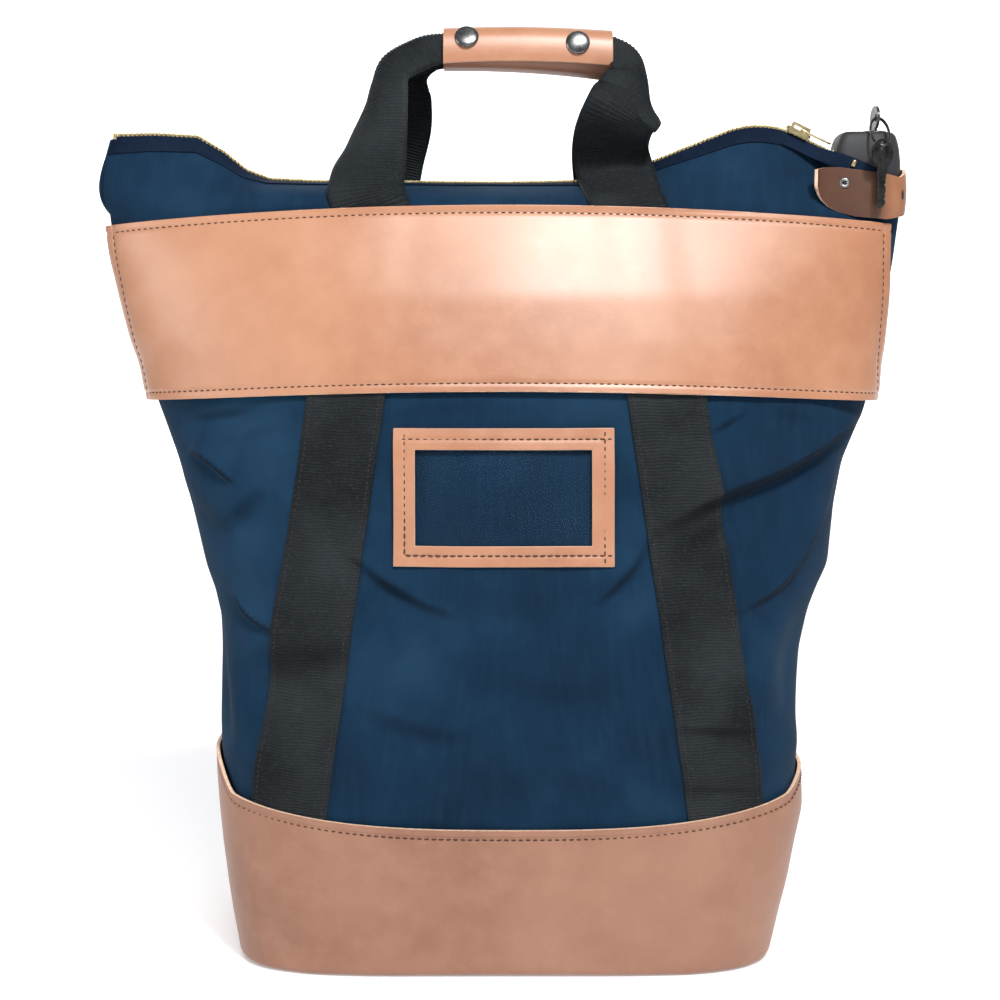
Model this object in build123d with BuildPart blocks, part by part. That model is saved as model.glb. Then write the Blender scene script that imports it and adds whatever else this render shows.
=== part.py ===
from build123d import *
import math
import os

# Lockable cash deposit bag. Millimetres. +X is the viewer's right, the front faces -Y and +Z is up.
# The origin is the centre of the leather sole, on the surface that the bag stands on.

# ---- Driving dimensions ----
SOLE = 2.5              # leather sole under the base
CANVAS = 1.6            # canvas panel with its lining
GAP = 0.5               # air between two sewn layers
WEB_WIDTH = 50.8        # two-inch webbing
WEB = 2.4               # webbing thickness
LEATHER = 2.2           # saddle leather
OVER_WEB = GAP + WEB + GAP

HEM_Z = 497.0           # where the panels end and the mouth hems begin
PANEL_TOP = 495.0
WRAP_TOP = 112.0
BAND_LOW, BAND_HIGH = 374.0, 494.0
ID_CENTRE_Z = 313.5
ID_OUTER = (139.0, 87.0)
ID_WINDOW = (111.0, 60.0)

LEG_X = (-91.0, 76.0)   # middles of the two legs of each handle loop
GRIP_X = (-43.0, 70.0)  # leather grip, a little right of the middle
BAR_Z = (592.0, 614.0)  # folded webbing inside the grip

ARC_R = 60.0            # round hump of the zip, on which its slider runs
ARC_X, ARC_Z = 168.0, 492.4
SLOPE = 25.4            # fall of the zip from the hump to the lock, in degrees
ZIP_END_X = 217.0

KEY_X = 246.0           # upright axis of the lock barrel
LOCK_LEFT = 219.6
LOCK_R = 18.0
LOCK_Z = (497.5, 549.0)

# Half-width, half-depth and roundness of the bag at each height
LEVELS = [
    (0.0, 184.0, 95.0, 5.0),
    (60.0, 196.0, 100.0, 4.5),
    (120.0, 200.0, 103.0, 4.0),
    (190.0, 197.0, 103.0, 3.2),
    (250.0, 205.0, 101.0, 2.7),
    (310.0, 220.0, 97.0, 2.4),
    (374.0, 248.0, 89.0, 2.1),
    (440.0, 262.0, 72.0, 1.9),
    (PANEL_TOP, 270.0, 50.0, 1.7),
]
STEP_Z = 31.0

# Height of the zip along the mouth, left of its round hump
RIDGE = [(-262.0, 546.0), (-210.0, 546.0), (-190.0, 534.0), (-163.0, 517.0), (62.0, 516.0), (99.0, 530.0)]


def section(z):
    """Half-width, half-depth and roundness of the bag at height z."""
    for low, high in zip(LEVELS, LEVELS[1:]):
        if z <= high[0]:
            share = (z - low[0]) / (high[0] - low[0])
            return [a + share * (b - a) for a, b in zip(low[1:], high[1:])]
    return LEVELS[-1][1:]


def wall_y(x, z):
    """Distance of the canvas from the middle plane at x and height z."""
    width, depth, power = section(z)
    return depth * max(0.0, 1 - abs(x / width) ** power) ** (1 / power)


def wall_points(z, left, right, proud):
    """Points along the front wall at height z, from x left to x right, lifted off it by proud."""
    width, depth, power = section(z)
    start, end = [math.acos(math.copysign(min(1.0, abs(x / width)) ** (power / 2), x)) for x in (left, right)]
    points = []
    count = 14
    for i in range(count + 1):
        angle = start + (end - start) * i / count
        c, s = math.cos(angle), round(math.sin(angle), 9)
        x = width * math.copysign(abs(c) ** (2 / power), c)
        y = depth * abs(s) ** (2 / power)
        nx = math.copysign(abs(x / width) ** (power - 1) / width, x)
        ny = (y / depth) ** (power - 1) / depth
        size = math.hypot(nx, ny)
        points.append((x + proud * nx / size, -(y + proud * ny / size)))
    return points


def heights(low, high):
    """Section heights from low to high: both ends and the shared levels between them."""
    shared = [STEP_Z * i for i in range(int(PANEL_TOP / STEP_Z) + 1)]
    return [low] + [z for z in shared if low + 2 < z < high - 2] + [high]


def skin(low, high, left, right, inner, outer):
    """A sewn layer on the front wall: left and right are functions of height."""
    with BuildPart() as layer:
        for z in heights(low, high):
            with BuildSketch(Plane.XY.offset(z)):
                with BuildLine():
                    face_line = Spline(*wall_points(z, left(z), right(z), outer))
                    back_line = Spline(*wall_points(z, left(z), right(z), inner))
                    Line(face_line @ 0, back_line @ 0)
                    Line(face_line @ 1, back_line @ 1)
                make_face()
        loft(ruled=True)
    return layer


def save(piece, name):
    piece.part.label = name
    export_step(piece.part, f"parts/{name}.step")


def save_pair(piece, front_name, back_name):
    """Saves a piece of the front and its mirror image on the back."""
    save(piece, front_name)
    with BuildPart() as back:
        add(piece.part)
        mirror(about=Plane.XZ, mode=Mode.REPLACE)
    save(back, back_name)


os.makedirs("parts", exist_ok=True)

# ---- Canvas body: two panels that meet at the side seams ----
with BuildPart() as panel:
    for z in heights(SOLE, PANEL_TOP):
        half = section(z)
        outer_line = wall_points(z, half[0], -half[0], 0)
        inner_line = [(x * (1 - CANVAS / half[0]), y * (1 - CANVAS / half[1])) for x, y in outer_line]
        with BuildSketch(Plane.XY.offset(z)):
            with BuildLine():
                face_line = Spline(*outer_line)
                back_line = Spline(*inner_line)
                Line(face_line @ 0, back_line @ 0)
                Line(face_line @ 1, back_line @ 1)
            make_face()
    loft(ruled=True)
save_pair(panel, "front_panel", "back_panel")


def base_plate(low, high, inset):
    """A flat layer of the base, inset inside the canvas."""
    half = section(0.0)
    loop = wall_points(0.0, half[0], -half[0], -inset)
    with BuildPart() as plate:
        with BuildSketch(Plane.XY.offset(low)):
            with BuildLine():
                front_line = Spline(*loop)
                back_line = Spline(*[(x, -y) for x, y in loop])
            make_face()
        extrude(amount=high - low)
    return plate


save(base_plate(0, SOLE, -OVER_WEB - LEATHER), "base_sole")
save(base_plate(SOLE, SOLE + CANVAS, CANVAS + GAP), "base_panel")
save(base_plate(SOLE + CANVAS, SOLE + CANVAS + 3, CANVAS + 2 * GAP), "base_board")

# ---- Mouth hems and zip: layers that follow the ridge of the closed mouth ----


def ridge(x):
    """Height of the zip at x."""
    if x > ARC_X + ARC_R * math.sin(math.radians(SLOPE)):
        end_x = ARC_X + ARC_R * math.sin(math.radians(SLOPE))
        end_z = ARC_Z + ARC_R * math.cos(math.radians(SLOPE))
        return end_z - (x - end_x) * math.tan(math.radians(SLOPE))
    if x > ARC_X - ARC_R * math.sin(math.radians(20)):
        return ARC_Z + math.sqrt(ARC_R ** 2 - (x - ARC_X) ** 2)
    hump = (ARC_X - ARC_R * math.sin(math.radians(20)), ARC_Z + ARC_R * math.cos(math.radians(20)))
    knots = RIDGE + [hump]
    for (x0, z0), (x1, z1) in zip(knots, knots[1:]):
        if x <= x1:
            return z0 + (z1 - z0) * (x - x0) / (x1 - x0)
    return hump[1]


MOUTH_X = [x for x, z in RIDGE] + [148.0, 158.0, 168.0, 178.0, 188.0, 194.0, ZIP_END_X]
CHAIN_HALF = 2.4        # half the width of the closed zip chain


def mouth_layer(start, end, inner, outer):
    """A strip of the front side of the mouth. start and end are distances from the zip, down the slope,
    and None reaches the panel; inner and outer are measured out of the slope."""
    with BuildPart() as strip:
        for x in MOUTH_X:
            low_y = -wall_y(x, PANEL_TOP)
            top_y, top_z = -CHAIN_HALF, ridge(x)
            run = math.hypot(top_y - low_y, top_z - HEM_Z)
            down_y, down_z = (low_y - top_y) / run, (HEM_Z - top_z) / run
            out_y, out_z = down_z, -down_y
            far = run if end is None else end
            corners = []
            for along, out in ((start, outer), (far, outer), (far, inner), (start, inner)):
                corners.append((top_y + down_y * along + out_y * out, top_z + down_z * along + out_z * out))
            with BuildSketch(Plane.YZ.offset(x)):
                with BuildLine():
                    Polyline(*corners, close=True)
                make_face()
        loft(ruled=True)
    return strip


save_pair(mouth_layer(12, None, 0, CANVAS), "front_mouth_hem", "back_mouth_hem")
save_pair(mouth_layer(1.2, 17, -1.2, -0.4), "zip_tape_front", "zip_tape_back")


def chain_bar():
    """One side of the closed chain, as a bar along the ridge."""
    with BuildPart() as bar:
        for x in MOUTH_X:
            z = ridge(x)
            with BuildSketch(Plane.YZ.offset(x)):
                with Locations((-CHAIN_HALF / 2 - 0.1, z + 0.3)):
                    Rectangle(CHAIN_HALF - 0.2, 2.6)
        loft(ruled=True)
    return bar


save_pair(chain_bar(), "zip_teeth_front", "zip_teeth_back")

# ---- Webbing straps, sewn flat on the canvas; they splay outwards towards the base ----
STRAP_TOP_X = 84.0      # middle of a strap at the top of the band
STRAP_LEAN = 0.146      # how far it moves out for each unit down
STRAP_LOW = WRAP_TOP - 35


def strap_edge(side, edge):
    """Edge of a strap as a function of height. side is -1 left or 1 right, edge -1 or 1."""
    return lambda z: side * (STRAP_TOP_X + STRAP_LEAN * (BAND_HIGH - z)) + edge * WEB_WIDTH / 2


for side, word in ((-1, "left"), (1, "right")):
    strap = skin(STRAP_LOW, BAND_HIGH, strap_edge(side, 1), strap_edge(side, -1), GAP, GAP + WEB)
    save_pair(strap, f"front_strap_{word}", f"back_strap_{word}")

# ---- Leather: band, base wrap and card frame ----
BAND_END = 9.0          # the band stops short of the side seams


def band_end(sign):
    return lambda z: sign * (section(z)[0] - BAND_END)


band = skin(BAND_LOW, BAND_HIGH, band_end(1), band_end(-1), OVER_WEB, OVER_WEB + LEATHER)
save_pair(band, "front_band", "back_band")


def seam(sign):
    return lambda z: sign * section(z)[0]


wrap = skin(SOLE, WRAP_TOP, seam(1), seam(-1), OVER_WEB, OVER_WEB + LEATHER)
save_pair(wrap, "base_wrap_front", "base_wrap_back")

ID_LOW, ID_HIGH = ID_CENTRE_Z - ID_OUTER[1] / 2, ID_CENTRE_Z + ID_OUTER[1] / 2
VINYL = 0.4
frame = skin(ID_LOW, ID_HIGH, lambda z: ID_OUTER[0] / 2, lambda z: -ID_OUTER[0] / 2,
             2 * GAP + VINYL, 2 * GAP + VINYL + LEATHER)
with BuildPart() as id_frame:
    add(frame.part)
    with BuildSketch(Plane.XZ):
        with Locations((0, ID_CENTRE_Z)):
            Rectangle(*ID_WINDOW)
    extrude(amount=200, mode=Mode.SUBTRACT)
save(id_frame, "id_frame")

window = skin(ID_LOW + 6, ID_HIGH - 6, lambda z: ID_OUTER[0] / 2 - 6, lambda z: 6 - ID_OUTER[0] / 2,
              GAP, GAP + VINYL)
save(window, "id_window")

# ---- Handle: webbing loops that meet in a leather grip ----
FOOT_Y = wall_y(STRAP_TOP_X, PANEL_TOP)
LEG_TOP = (-28.0, 545.0)
BEND = (-11.0, 590.0)
LOOP_LEFT = (-111.0, -62.0)     # feet of the standing loop, from its outer or inner edge
LOOP_RIGHT = (56.0, 99.0)

# Legs between the band and the standing handle, bending as it tilts
with BuildPart() as legs:
    with BuildSketch(Plane.YZ.offset(-WEB_WIDTH / 2)):
        with BuildLine():
            Polyline(
                (-FOOT_Y - 5.4, HEM_Z + 1.5),
                (-FOOT_Y - 3.0, HEM_Z + 1.5),
                (LEG_TOP[0] + WEB / 2, LEG_TOP[1] - 1),
                (LEG_TOP[0] - WEB / 2, LEG_TOP[1] - 1),
                close=True,
            )
        make_face()
    extrude(amount=WEB_WIDTH)
with BuildPart() as web_legs:
    with Locations(*[(x, 0, 0) for x in LEG_X]):
        add(legs.part)
save_pair(web_legs, "web_legs_front", "web_legs_back")

# Standing part of each loop: two legs leaning in, and the folded webbing through the grip
with BuildPart() as loop:
    with BuildSketch(Plane.XZ):
        with BuildLine():
            Polyline(
                (LOOP_LEFT[0], LEG_TOP[1]), (-94, 592), (-72, BAR_Z[1]), (84, BAR_Z[1]), (100, BEND[1]),
                (LOOP_RIGHT[1], LEG_TOP[1]), (LOOP_RIGHT[0], LEG_TOP[1]), (60, 575), (74, BAR_Z[0]),
                (-50, BAR_Z[0]), (LOOP_LEFT[1], LEG_TOP[1]), close=True,
            )
        make_face()
    extrude(amount=40)
    with BuildSketch(Plane.YZ.offset(-150)):
        with BuildLine():
            Polyline(
                (LEG_TOP[0] - WEB / 2, LEG_TOP[1]),
                (BEND[0] - WEB / 2, BEND[1]),
                (-10, BAR_Z[0]),
                (-10, BAR_Z[1]),
                (-0.8, BAR_Z[1]),
                (-0.8, BAR_Z[0]),
                (BEND[0] + WEB / 2, BEND[1]),
                (LEG_TOP[0] + WEB / 2, LEG_TOP[1]),
                close=True,
            )
        make_face()
    extrude(amount=300, mode=Mode.INTERSECT)
save_pair(loop, "handle_web_front", "handle_web_back")

SLEEVE = 10.6           # half-depth of the space inside the grip
SLEEVE_OUT = SLEEVE + LEATHER
SOCKET = 1.8            # depth of the snap fastener between flap and sleeve
FLAP_IN = SLEEVE_OUT + SOCKET
GRIP_LOW, GRIP_HIGH = BAR_Z[0] - 0.6 - LEATHER, BAR_Z[1] + 0.6
SNAP_X = (-26.0, 48.0)
SNAP_Z = 604.0
SNAP_SPOTS = [(x, SNAP_Z) for x in SNAP_X]

with BuildPart() as grip_sleeve:
    with BuildSketch(Plane.YZ.offset(GRIP_X[0])):
        with BuildLine():
            Polyline(
                (-SLEEVE_OUT, GRIP_HIGH - 2), (-SLEEVE_OUT, GRIP_LOW), (SLEEVE_OUT, GRIP_LOW),
                (SLEEVE_OUT, GRIP_HIGH), (SLEEVE, GRIP_HIGH), (SLEEVE, GRIP_LOW + LEATHER),
                (-SLEEVE, GRIP_LOW + LEATHER), (-SLEEVE, GRIP_HIGH - 2), close=True,
            )
        make_face()
    extrude(amount=GRIP_X[1] - GRIP_X[0])
    with BuildSketch(Plane.XZ.offset(SLEEVE)):
        with Locations(*SNAP_SPOTS):
            Circle(1.6)
    extrude(amount=LEATHER, mode=Mode.SUBTRACT)
save(grip_sleeve, "grip_sleeve")

with BuildPart() as grip_flap:
    with BuildSketch(Plane.YZ.offset(GRIP_X[0])):
        with BuildLine():
            Polyline(
                (SLEEVE_OUT, GRIP_HIGH), (SLEEVE_OUT, GRIP_HIGH + LEATHER),
                (-FLAP_IN - LEATHER, GRIP_HIGH + LEATHER), (-FLAP_IN - LEATHER, GRIP_LOW),
                (-FLAP_IN, GRIP_LOW), (-FLAP_IN, GRIP_HIGH), close=True,
            )
        make_face()
    extrude(amount=GRIP_X[1] - GRIP_X[0])
    with BuildSketch(Plane.XZ.offset(FLAP_IN)):
        with Locations(*SNAP_SPOTS):
            Circle(2.1)
    extrude(amount=LEATHER, mode=Mode.SUBTRACT)
save(grip_flap, "grip_flap")


def snap_group(profile):
    """The same turned piece at both snap fasteners. profile lists (radius, distance in front of y 0)."""
    with BuildPart() as turned:
        with BuildSketch(Plane.XZ):
            with BuildLine():
                Polyline(*[(r, d) for r, d in profile], close=True)
            make_face()
        revolve(axis=Axis.Z)
    with BuildPart() as group:
        with Locations(*[Location((x, 0, z), (90, 0, 0)) for x, z in SNAP_SPOTS]):
            add(turned.part)
    return group


flap_face = FLAP_IN + LEATHER
save(snap_group([(0, flap_face), (7.6, flap_face), (7.2, flap_face + 1.2), (5, flap_face + 2.3),
                 (0, flap_face + 3)]), "snap_caps")
save(snap_group([(2.6, SLEEVE_OUT + 0.1), (5.6, SLEEVE_OUT + 0.1), (5.6, FLAP_IN - 0.1), (2.6, FLAP_IN - 0.1)]),
     "snap_sockets")
save(snap_group([(0, SLEEVE - 0.4), (4, SLEEVE - 0.4), (4, SLEEVE), (1.5, SLEEVE), (1.5, SLEEVE_OUT),
                 (2.2, SLEEVE_OUT), (2.2, FLAP_IN - 0.3), (0, FLAP_IN - 0.3)]), "snap_studs")

# ---- Zip slider and pull, on the round hump, and the end stops ----
REST_X = ARC_X + ARC_R * math.sin(math.radians(SLOPE))
REST_Z = ARC_Z + ARC_R * math.cos(math.radians(SLOPE))
# On this plane x runs down the slope from the rest place of the slider and y runs across the zip
along = Plane(origin=(REST_X, 0, REST_Z), x_dir=(math.cos(math.radians(SLOPE)), 0, -math.sin(math.radians(SLOPE))),
              z_dir=(math.sin(math.radians(SLOPE)), 0, math.cos(math.radians(SLOPE))))
SLIDER_LONG = 18.0
SLIDER_WIDE = 11.0
CHAIN_ROOM = 2.6        # half the height of the channel that the chain runs through
PULL_LONG = 21.5
PULL_WIDE = 8.6

with BuildPart() as zip_slider:
    with BuildSketch(along.offset(CHAIN_ROOM)):
        RectangleRounded(SLIDER_LONG, SLIDER_WIDE, 3)
    extrude(amount=1.8)
    with BuildSketch(along.offset(CHAIN_ROOM + 1.8)):
        with Locations((-5, 0), (6, 0)):
            Rectangle(2, 4)
    extrude(amount=3.2)
    with BuildSketch(along.offset(CHAIN_ROOM + 5)):
        with Locations((0.5, 0)):
            Rectangle(13, 4)
    extrude(amount=1.5)
    with BuildSketch(along.offset(CHAIN_ROOM)):
        with Locations((0, 5.2), (0, -5.2)):
            Rectangle(SLIDER_LONG - 6, 1.4)
    extrude(amount=-1.6)
save(zip_slider, "zip_slider")

with BuildPart() as zip_pull:
    with BuildSketch(along.offset(CHAIN_ROOM + 2.7)):
        with Locations((1.25 + PULL_LONG / 2, 0)):
            RectangleRounded(PULL_LONG, PULL_WIDE, 2)
        with Locations((5.4, 0)):
            RectangleRounded(5.6, 5.2, 1, mode=Mode.SUBTRACT)
        with Locations((PULL_LONG - 5, 0)):
            RectangleRounded(7, 3.6, 1.2, mode=Mode.SUBTRACT)
    extrude(amount=1.5)
save(zip_pull, "zip_pull")

with BuildPart() as zip_end_stops:
    for x in (ZIP_END_X + 1.2, MOUTH_X[0] - 1.2):
        with BuildSketch(Plane.XZ.offset(-3)):
            with Locations((x, ridge(min(max(x, MOUTH_X[0]), ZIP_END_X)) + 0.3)):
                RectangleRounded(2, 4, 0.6)
        extrude(amount=6)
save(zip_end_stops, "zip_end_stops")

# ---- Lock: housing with an upright barrel, in a leather cup ----
BARREL_R = 9.0
PLUG_R = 6.0
RUN = 0.06              # running clearance on the radius
BARREL_LOW = 512.0
BLADE_WIDTH = 8.0
KEYWAY = (2.6, 8.6)     # slot for the key blade


def lock_outline(grow, left):
    """Plan of the lock: square at the left end and round about the barrel at the right."""
    half = LOCK_R + grow
    with BuildSketch() as outline:
        with BuildLine():
            Line((left, -half), (KEY_X, -half))
            ThreePointArc((KEY_X, -half), (KEY_X + half, 0), (KEY_X, half))
            Line((KEY_X, half), (left, half))
            Line((left, half), (left, -half))
        make_face()
    return outline.sketch


with BuildPart() as lock_housing:
    with BuildSketch(Plane.XY.offset(LOCK_Z[0])):
        add(lock_outline(0, LOCK_LEFT))
    extrude(amount=LOCK_Z[1] - LOCK_Z[0])
    fillet(lock_housing.faces().sort_by(Axis.Z)[-1].edges(), radius=4)
    with BuildSketch(Plane.XY.offset(BARREL_LOW)):
        with Locations((KEY_X, 0)):
            Circle(BARREL_R + RUN)
    extrude(amount=60, mode=Mode.SUBTRACT)
save(lock_housing, "lock_housing")

with BuildPart() as lock_barrel:
    with BuildSketch(Plane.XY.offset(BARREL_LOW + 1)):
        with Locations((KEY_X, 0)):
            Circle(BARREL_R)
    extrude(amount=LOCK_Z[1] + 1 - BARREL_LOW - 1)
    with BuildSketch(Plane.XY.offset(BARREL_LOW + 3)):
        with Locations((KEY_X, 0)):
            Circle(PLUG_R + RUN)
    extrude(amount=60, mode=Mode.SUBTRACT)
save(lock_barrel, "lock_barrel")

PLUG_TOP = LOCK_Z[1] + 0.6
with BuildPart() as lock_plug:
    with BuildSketch(Plane.XY.offset(BARREL_LOW + 3.1)):
        with Locations((KEY_X, 0)):
            Circle(PLUG_R)
    extrude(amount=PLUG_TOP - BARREL_LOW - 3.1)
    with BuildSketch(Plane.XY.offset(PLUG_TOP - 26)):
        with Locations((KEY_X, 0)):
            Rectangle(*KEYWAY)
    extrude(amount=26, mode=Mode.SUBTRACT)
save(lock_plug, "lock_plug")

CUP_HIGH = 522.0
CUP_GAP = 0.4
RIVET_AT = (232.0, 512.0)
with BuildPart() as lock_cup:
    with BuildSketch(Plane.XY.offset(LOCK_Z[0])):
        add(lock_outline(CUP_GAP + LEATHER, LOCK_LEFT))
    extrude(amount=CUP_HIGH - LOCK_Z[0])
    with BuildSketch(Plane.XY.offset(LOCK_Z[0])):
        add(lock_outline(CUP_GAP, LOCK_LEFT - 5))
    extrude(amount=CUP_HIGH - LOCK_Z[0], mode=Mode.SUBTRACT)
    with BuildSketch(Plane.XZ.offset(-60)):
        with Locations(RIVET_AT):
            Circle(1.6)
    extrude(amount=120, mode=Mode.SUBTRACT)
save(lock_cup, "lock_cup")

CUP_FACE = LOCK_R + CUP_GAP + LEATHER
with BuildPart() as cup_rivets:
    with BuildSketch(Plane.XZ.offset(CUP_FACE)):
        with Locations(RIVET_AT):
            Circle(3.2)
    extrude(amount=0.9)
    with BuildSketch(Plane.XZ.offset(LOCK_R + 0.05)):
        with Locations(RIVET_AT):
            Circle(1.5)
    extrude(amount=CUP_FACE - LOCK_R - 0.05)
    mirror(about=Plane.XZ)
save(cup_rivets, "cup_rivets")

# ---- Keys: one in the barrel, a spare one that hangs from it on a ring ----
BOW = (24.0, 16.0)      # wide bow of the key in the lock
BOW_Z = 558.5
BOW_R = 10.0            # round bow of the spare key
BOW_HOLE = 4.0
KEY_THICK = 1.8
RING_SPAN = 27.0        # between the middles of the wire at the two keys
RING_REACH = 18.0       # how far the ring leans out over the front of the lock
WIRE = 0.9
HOLE_1 = Vector(KEY_X, -10, 558)
HOLE_2 = HOLE_1 + Vector(0, -RING_REACH, -math.sqrt(RING_SPAN ** 2 - RING_REACH ** 2))
SPARE_TURN = 35.0       # the spare key hangs askew, so that the wire threads its hole

with BuildPart() as key_in_lock:
    with BuildSketch(Plane.YZ.offset(KEY_X - KEY_THICK / 2)):
        with Locations((-3, BOW_Z)):
            RectangleRounded(*BOW, 7)
        with Locations((0, BOW_Z - 20)):
            Rectangle(BLADE_WIDTH, 28)
        with Locations((HOLE_1.Y, HOLE_1.Z)):
            Circle(BOW_HOLE, mode=Mode.SUBTRACT)
    extrude(amount=KEY_THICK)
save(key_in_lock, "key_in_lock")

ring_down = (HOLE_2 - HOLE_1).normalized()
ring_centre = (HOLE_1 + HOLE_2) * 0.5
with BuildPart() as key_ring:
    with BuildSketch(Plane(origin=HOLE_1, x_dir=ring_down, z_dir=(1, 0, 0))):
        Circle(WIRE)
    revolve(axis=Axis(origin=ring_centre, direction=Vector(1, 0, 0).cross(ring_down)))
save(key_ring, "key_ring")

spare_across = Vector(math.cos(math.radians(SPARE_TURN)), math.sin(math.radians(SPARE_TURN)), 0)
spare_out = spare_across.cross(Vector(0, 0, 1))
with BuildPart() as spare_key:
    with BuildSketch(Plane(origin=HOLE_2 - spare_out * (KEY_THICK / 2), x_dir=spare_across, z_dir=spare_out)):
        with Locations((0, -3.5)):
            Circle(BOW_R)
        with Locations((0, -26)):
            Rectangle(BLADE_WIDTH, 28)
        Circle(BOW_HOLE, mode=Mode.SUBTRACT)
    extrude(amount=KEY_THICK)
save(spare_key, "spare_key")
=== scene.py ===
import math

import bmesh
import bpy
import numpy as np
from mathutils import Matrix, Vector


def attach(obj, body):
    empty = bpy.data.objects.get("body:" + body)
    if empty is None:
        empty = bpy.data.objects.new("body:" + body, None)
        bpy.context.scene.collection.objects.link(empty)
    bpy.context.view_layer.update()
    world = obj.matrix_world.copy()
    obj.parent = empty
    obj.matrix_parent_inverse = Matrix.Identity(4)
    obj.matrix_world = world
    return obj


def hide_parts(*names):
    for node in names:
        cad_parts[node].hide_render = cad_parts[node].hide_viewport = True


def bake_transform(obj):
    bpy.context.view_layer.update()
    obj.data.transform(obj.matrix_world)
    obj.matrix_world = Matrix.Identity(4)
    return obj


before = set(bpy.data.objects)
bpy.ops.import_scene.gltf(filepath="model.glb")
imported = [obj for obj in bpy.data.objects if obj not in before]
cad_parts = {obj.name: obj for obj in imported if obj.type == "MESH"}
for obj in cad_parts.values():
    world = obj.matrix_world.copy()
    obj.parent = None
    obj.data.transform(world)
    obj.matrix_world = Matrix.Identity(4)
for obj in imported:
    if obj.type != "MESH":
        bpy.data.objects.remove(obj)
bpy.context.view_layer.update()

MM = 0.001
rng = np.random.default_rng(7)

# ---------------------------------------------------------------- mesh helpers (millimetres in, metres out)


def add_mesh(name, verts, faces, mats, uv=None, face_mats=None, smooth=True):
    """A mesh object from vertices in millimetres, with optional uv per vertex in metres."""
    mesh = bpy.data.meshes.new(name)
    corners = [tuple(v) for v in np.asarray(verts, float) * MM]
    mesh.from_pydata(corners, [], [tuple(int(i) for i in f) for f in faces])
    for mat in mats:
        mesh.materials.append(mat)
    mesh.polygons.foreach_set("use_smooth", [smooth] * len(mesh.polygons))
    if face_mats is not None:
        mesh.polygons.foreach_set("material_index", [int(m) for m in face_mats])
    if uv is not None:
        layer = mesh.uv_layers.new(name="UVMap")
        loops = np.empty(len(mesh.loops), dtype=np.int32)
        mesh.loops.foreach_get("vertex_index", loops)
        layer.data.foreach_set("uv", np.asarray(uv, np.float32)[loops].ravel())
    mesh.update()
    obj = bpy.data.objects.new(name, mesh)
    bpy.context.scene.collection.objects.link(obj)
    return obj


def grid_faces(rows, cols, closed=False, flip=False, base=0):
    """Quads of a grid of rows x cols vertices. closed joins the last column to the first."""
    faces = []
    for r in range(rows - 1):
        low, high = base + r * cols, base + (r + 1) * cols
        for c in range(cols if closed else cols - 1):
            n = (c + 1) % cols
            quad = (low + c, low + n, high + n, high + c)
            faces.append(quad[::-1] if flip else quad)
    return faces


def end_caps(rows, cols, base=0, flip=False):
    """The two faces that close the ends of a tube of rings."""
    first, last = tuple(base + k for k in range(cols)), tuple(base + (rows - 1) * cols + k for k in range(cols))
    return [first, last[::-1]] if flip else [first[::-1], last]


def grid_object(name, points, mats, uv=None, closed=False, flip=False, keep=None):
    """A grid object from an array of rows x cols x 3. keep(r, c) drops faces where it is False."""
    rows, cols = points.shape[:2]
    faces = grid_faces(rows, cols, closed, flip)
    if keep is not None:
        per_row = cols if closed else cols - 1
        faces = [f for i, f in enumerate(faces) if keep(i // per_row, i % per_row)]
    flat_uv = None if uv is None else uv.reshape(-1, 2)
    return add_mesh(name, points.reshape(-1, 3), faces, mats, flat_uv)


def edit(obj, change):
    """Runs change on a bmesh of the object's mesh and writes the result back."""
    bm = bmesh.new()
    bm.from_mesh(obj.data)
    bm.verts.ensure_lookup_table()
    change(bm)
    bm.to_mesh(obj.data)
    bm.free()
    obj.data.update()


def drop_loose(obj):
    edit(obj, lambda bm: bmesh.ops.delete(bm, geom=[v for v in bm.verts if not v.link_faces], context="VERTS"))


def outward(obj):
    """Makes the normals of a closed mesh point outwards."""
    edit(obj, lambda bm: bmesh.ops.recalc_face_normals(bm, faces=bm.faces))


def solidify(obj, thick, offset=-1.0, rim_material=1, even=False):
    mod = obj.modifiers.new("thickness", "SOLIDIFY")
    mod.thickness = thick * MM
    mod.offset = offset
    mod.use_even_offset = even
    mod.material_offset_rim = rim_material
    return mod


def bevel(obj, width, segments=2, angle=50):
    mod = obj.modifiers.new("round edges", "BEVEL")
    mod.width = width * MM
    mod.segments = segments
    mod.limit_method = "ANGLE"
    mod.angle_limit = math.radians(angle)
    return mod


def place(obj, body, replaces=()):
    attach(obj, body)
    if replaces:
        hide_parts(*replaces)
    return obj


def smoothstep(t):
    t = np.clip(t, 0.0, 1.0)
    return t * t * (3 - 2 * t)


def run_along(points):
    """Distance covered from the first point of a line to each of its points."""
    return np.r_[0, np.cumsum(np.linalg.norm(np.diff(points, axis=0), axis=1))]


def at_run(values, run, where):
    """Rows of values at the given distances along a line."""
    return np.stack([np.interp(where, run, values[:, k]) for k in range(values.shape[1])], axis=1)


def uv_grid(across, up):
    """Texture coordinates in metres from two lists of millimetres."""
    return np.stack(np.meshgrid(across, up), axis=-1) * MM


def smooth_path(points, count):
    """Evenly spaced points on a Catmull-Rom curve through the given rows of numbers."""
    p = np.asarray(points, float)
    p = np.vstack([2 * p[0] - p[1], p, 2 * p[-1] - p[-2]])
    t = np.linspace(0, 1, 40, endpoint=False)[:, None]
    out = []
    for a, b, c, d in zip(p, p[1:], p[2:], p[3:]):
        square, cube = 2 * a - 5 * b + 4 * c - d, 3 * b - a - 3 * c + d
        out.append(0.5 * (2 * b + (c - a) * t + square * t ** 2 + cube * t ** 3))
    out = np.vstack(out + [p[-2][None]])
    run = run_along(out[:, :3])
    return at_run(out, run, np.linspace(0, run[-1], count))


def unit(v):
    return v / np.maximum(np.linalg.norm(v, axis=-1, keepdims=True), 1e-9)


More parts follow.
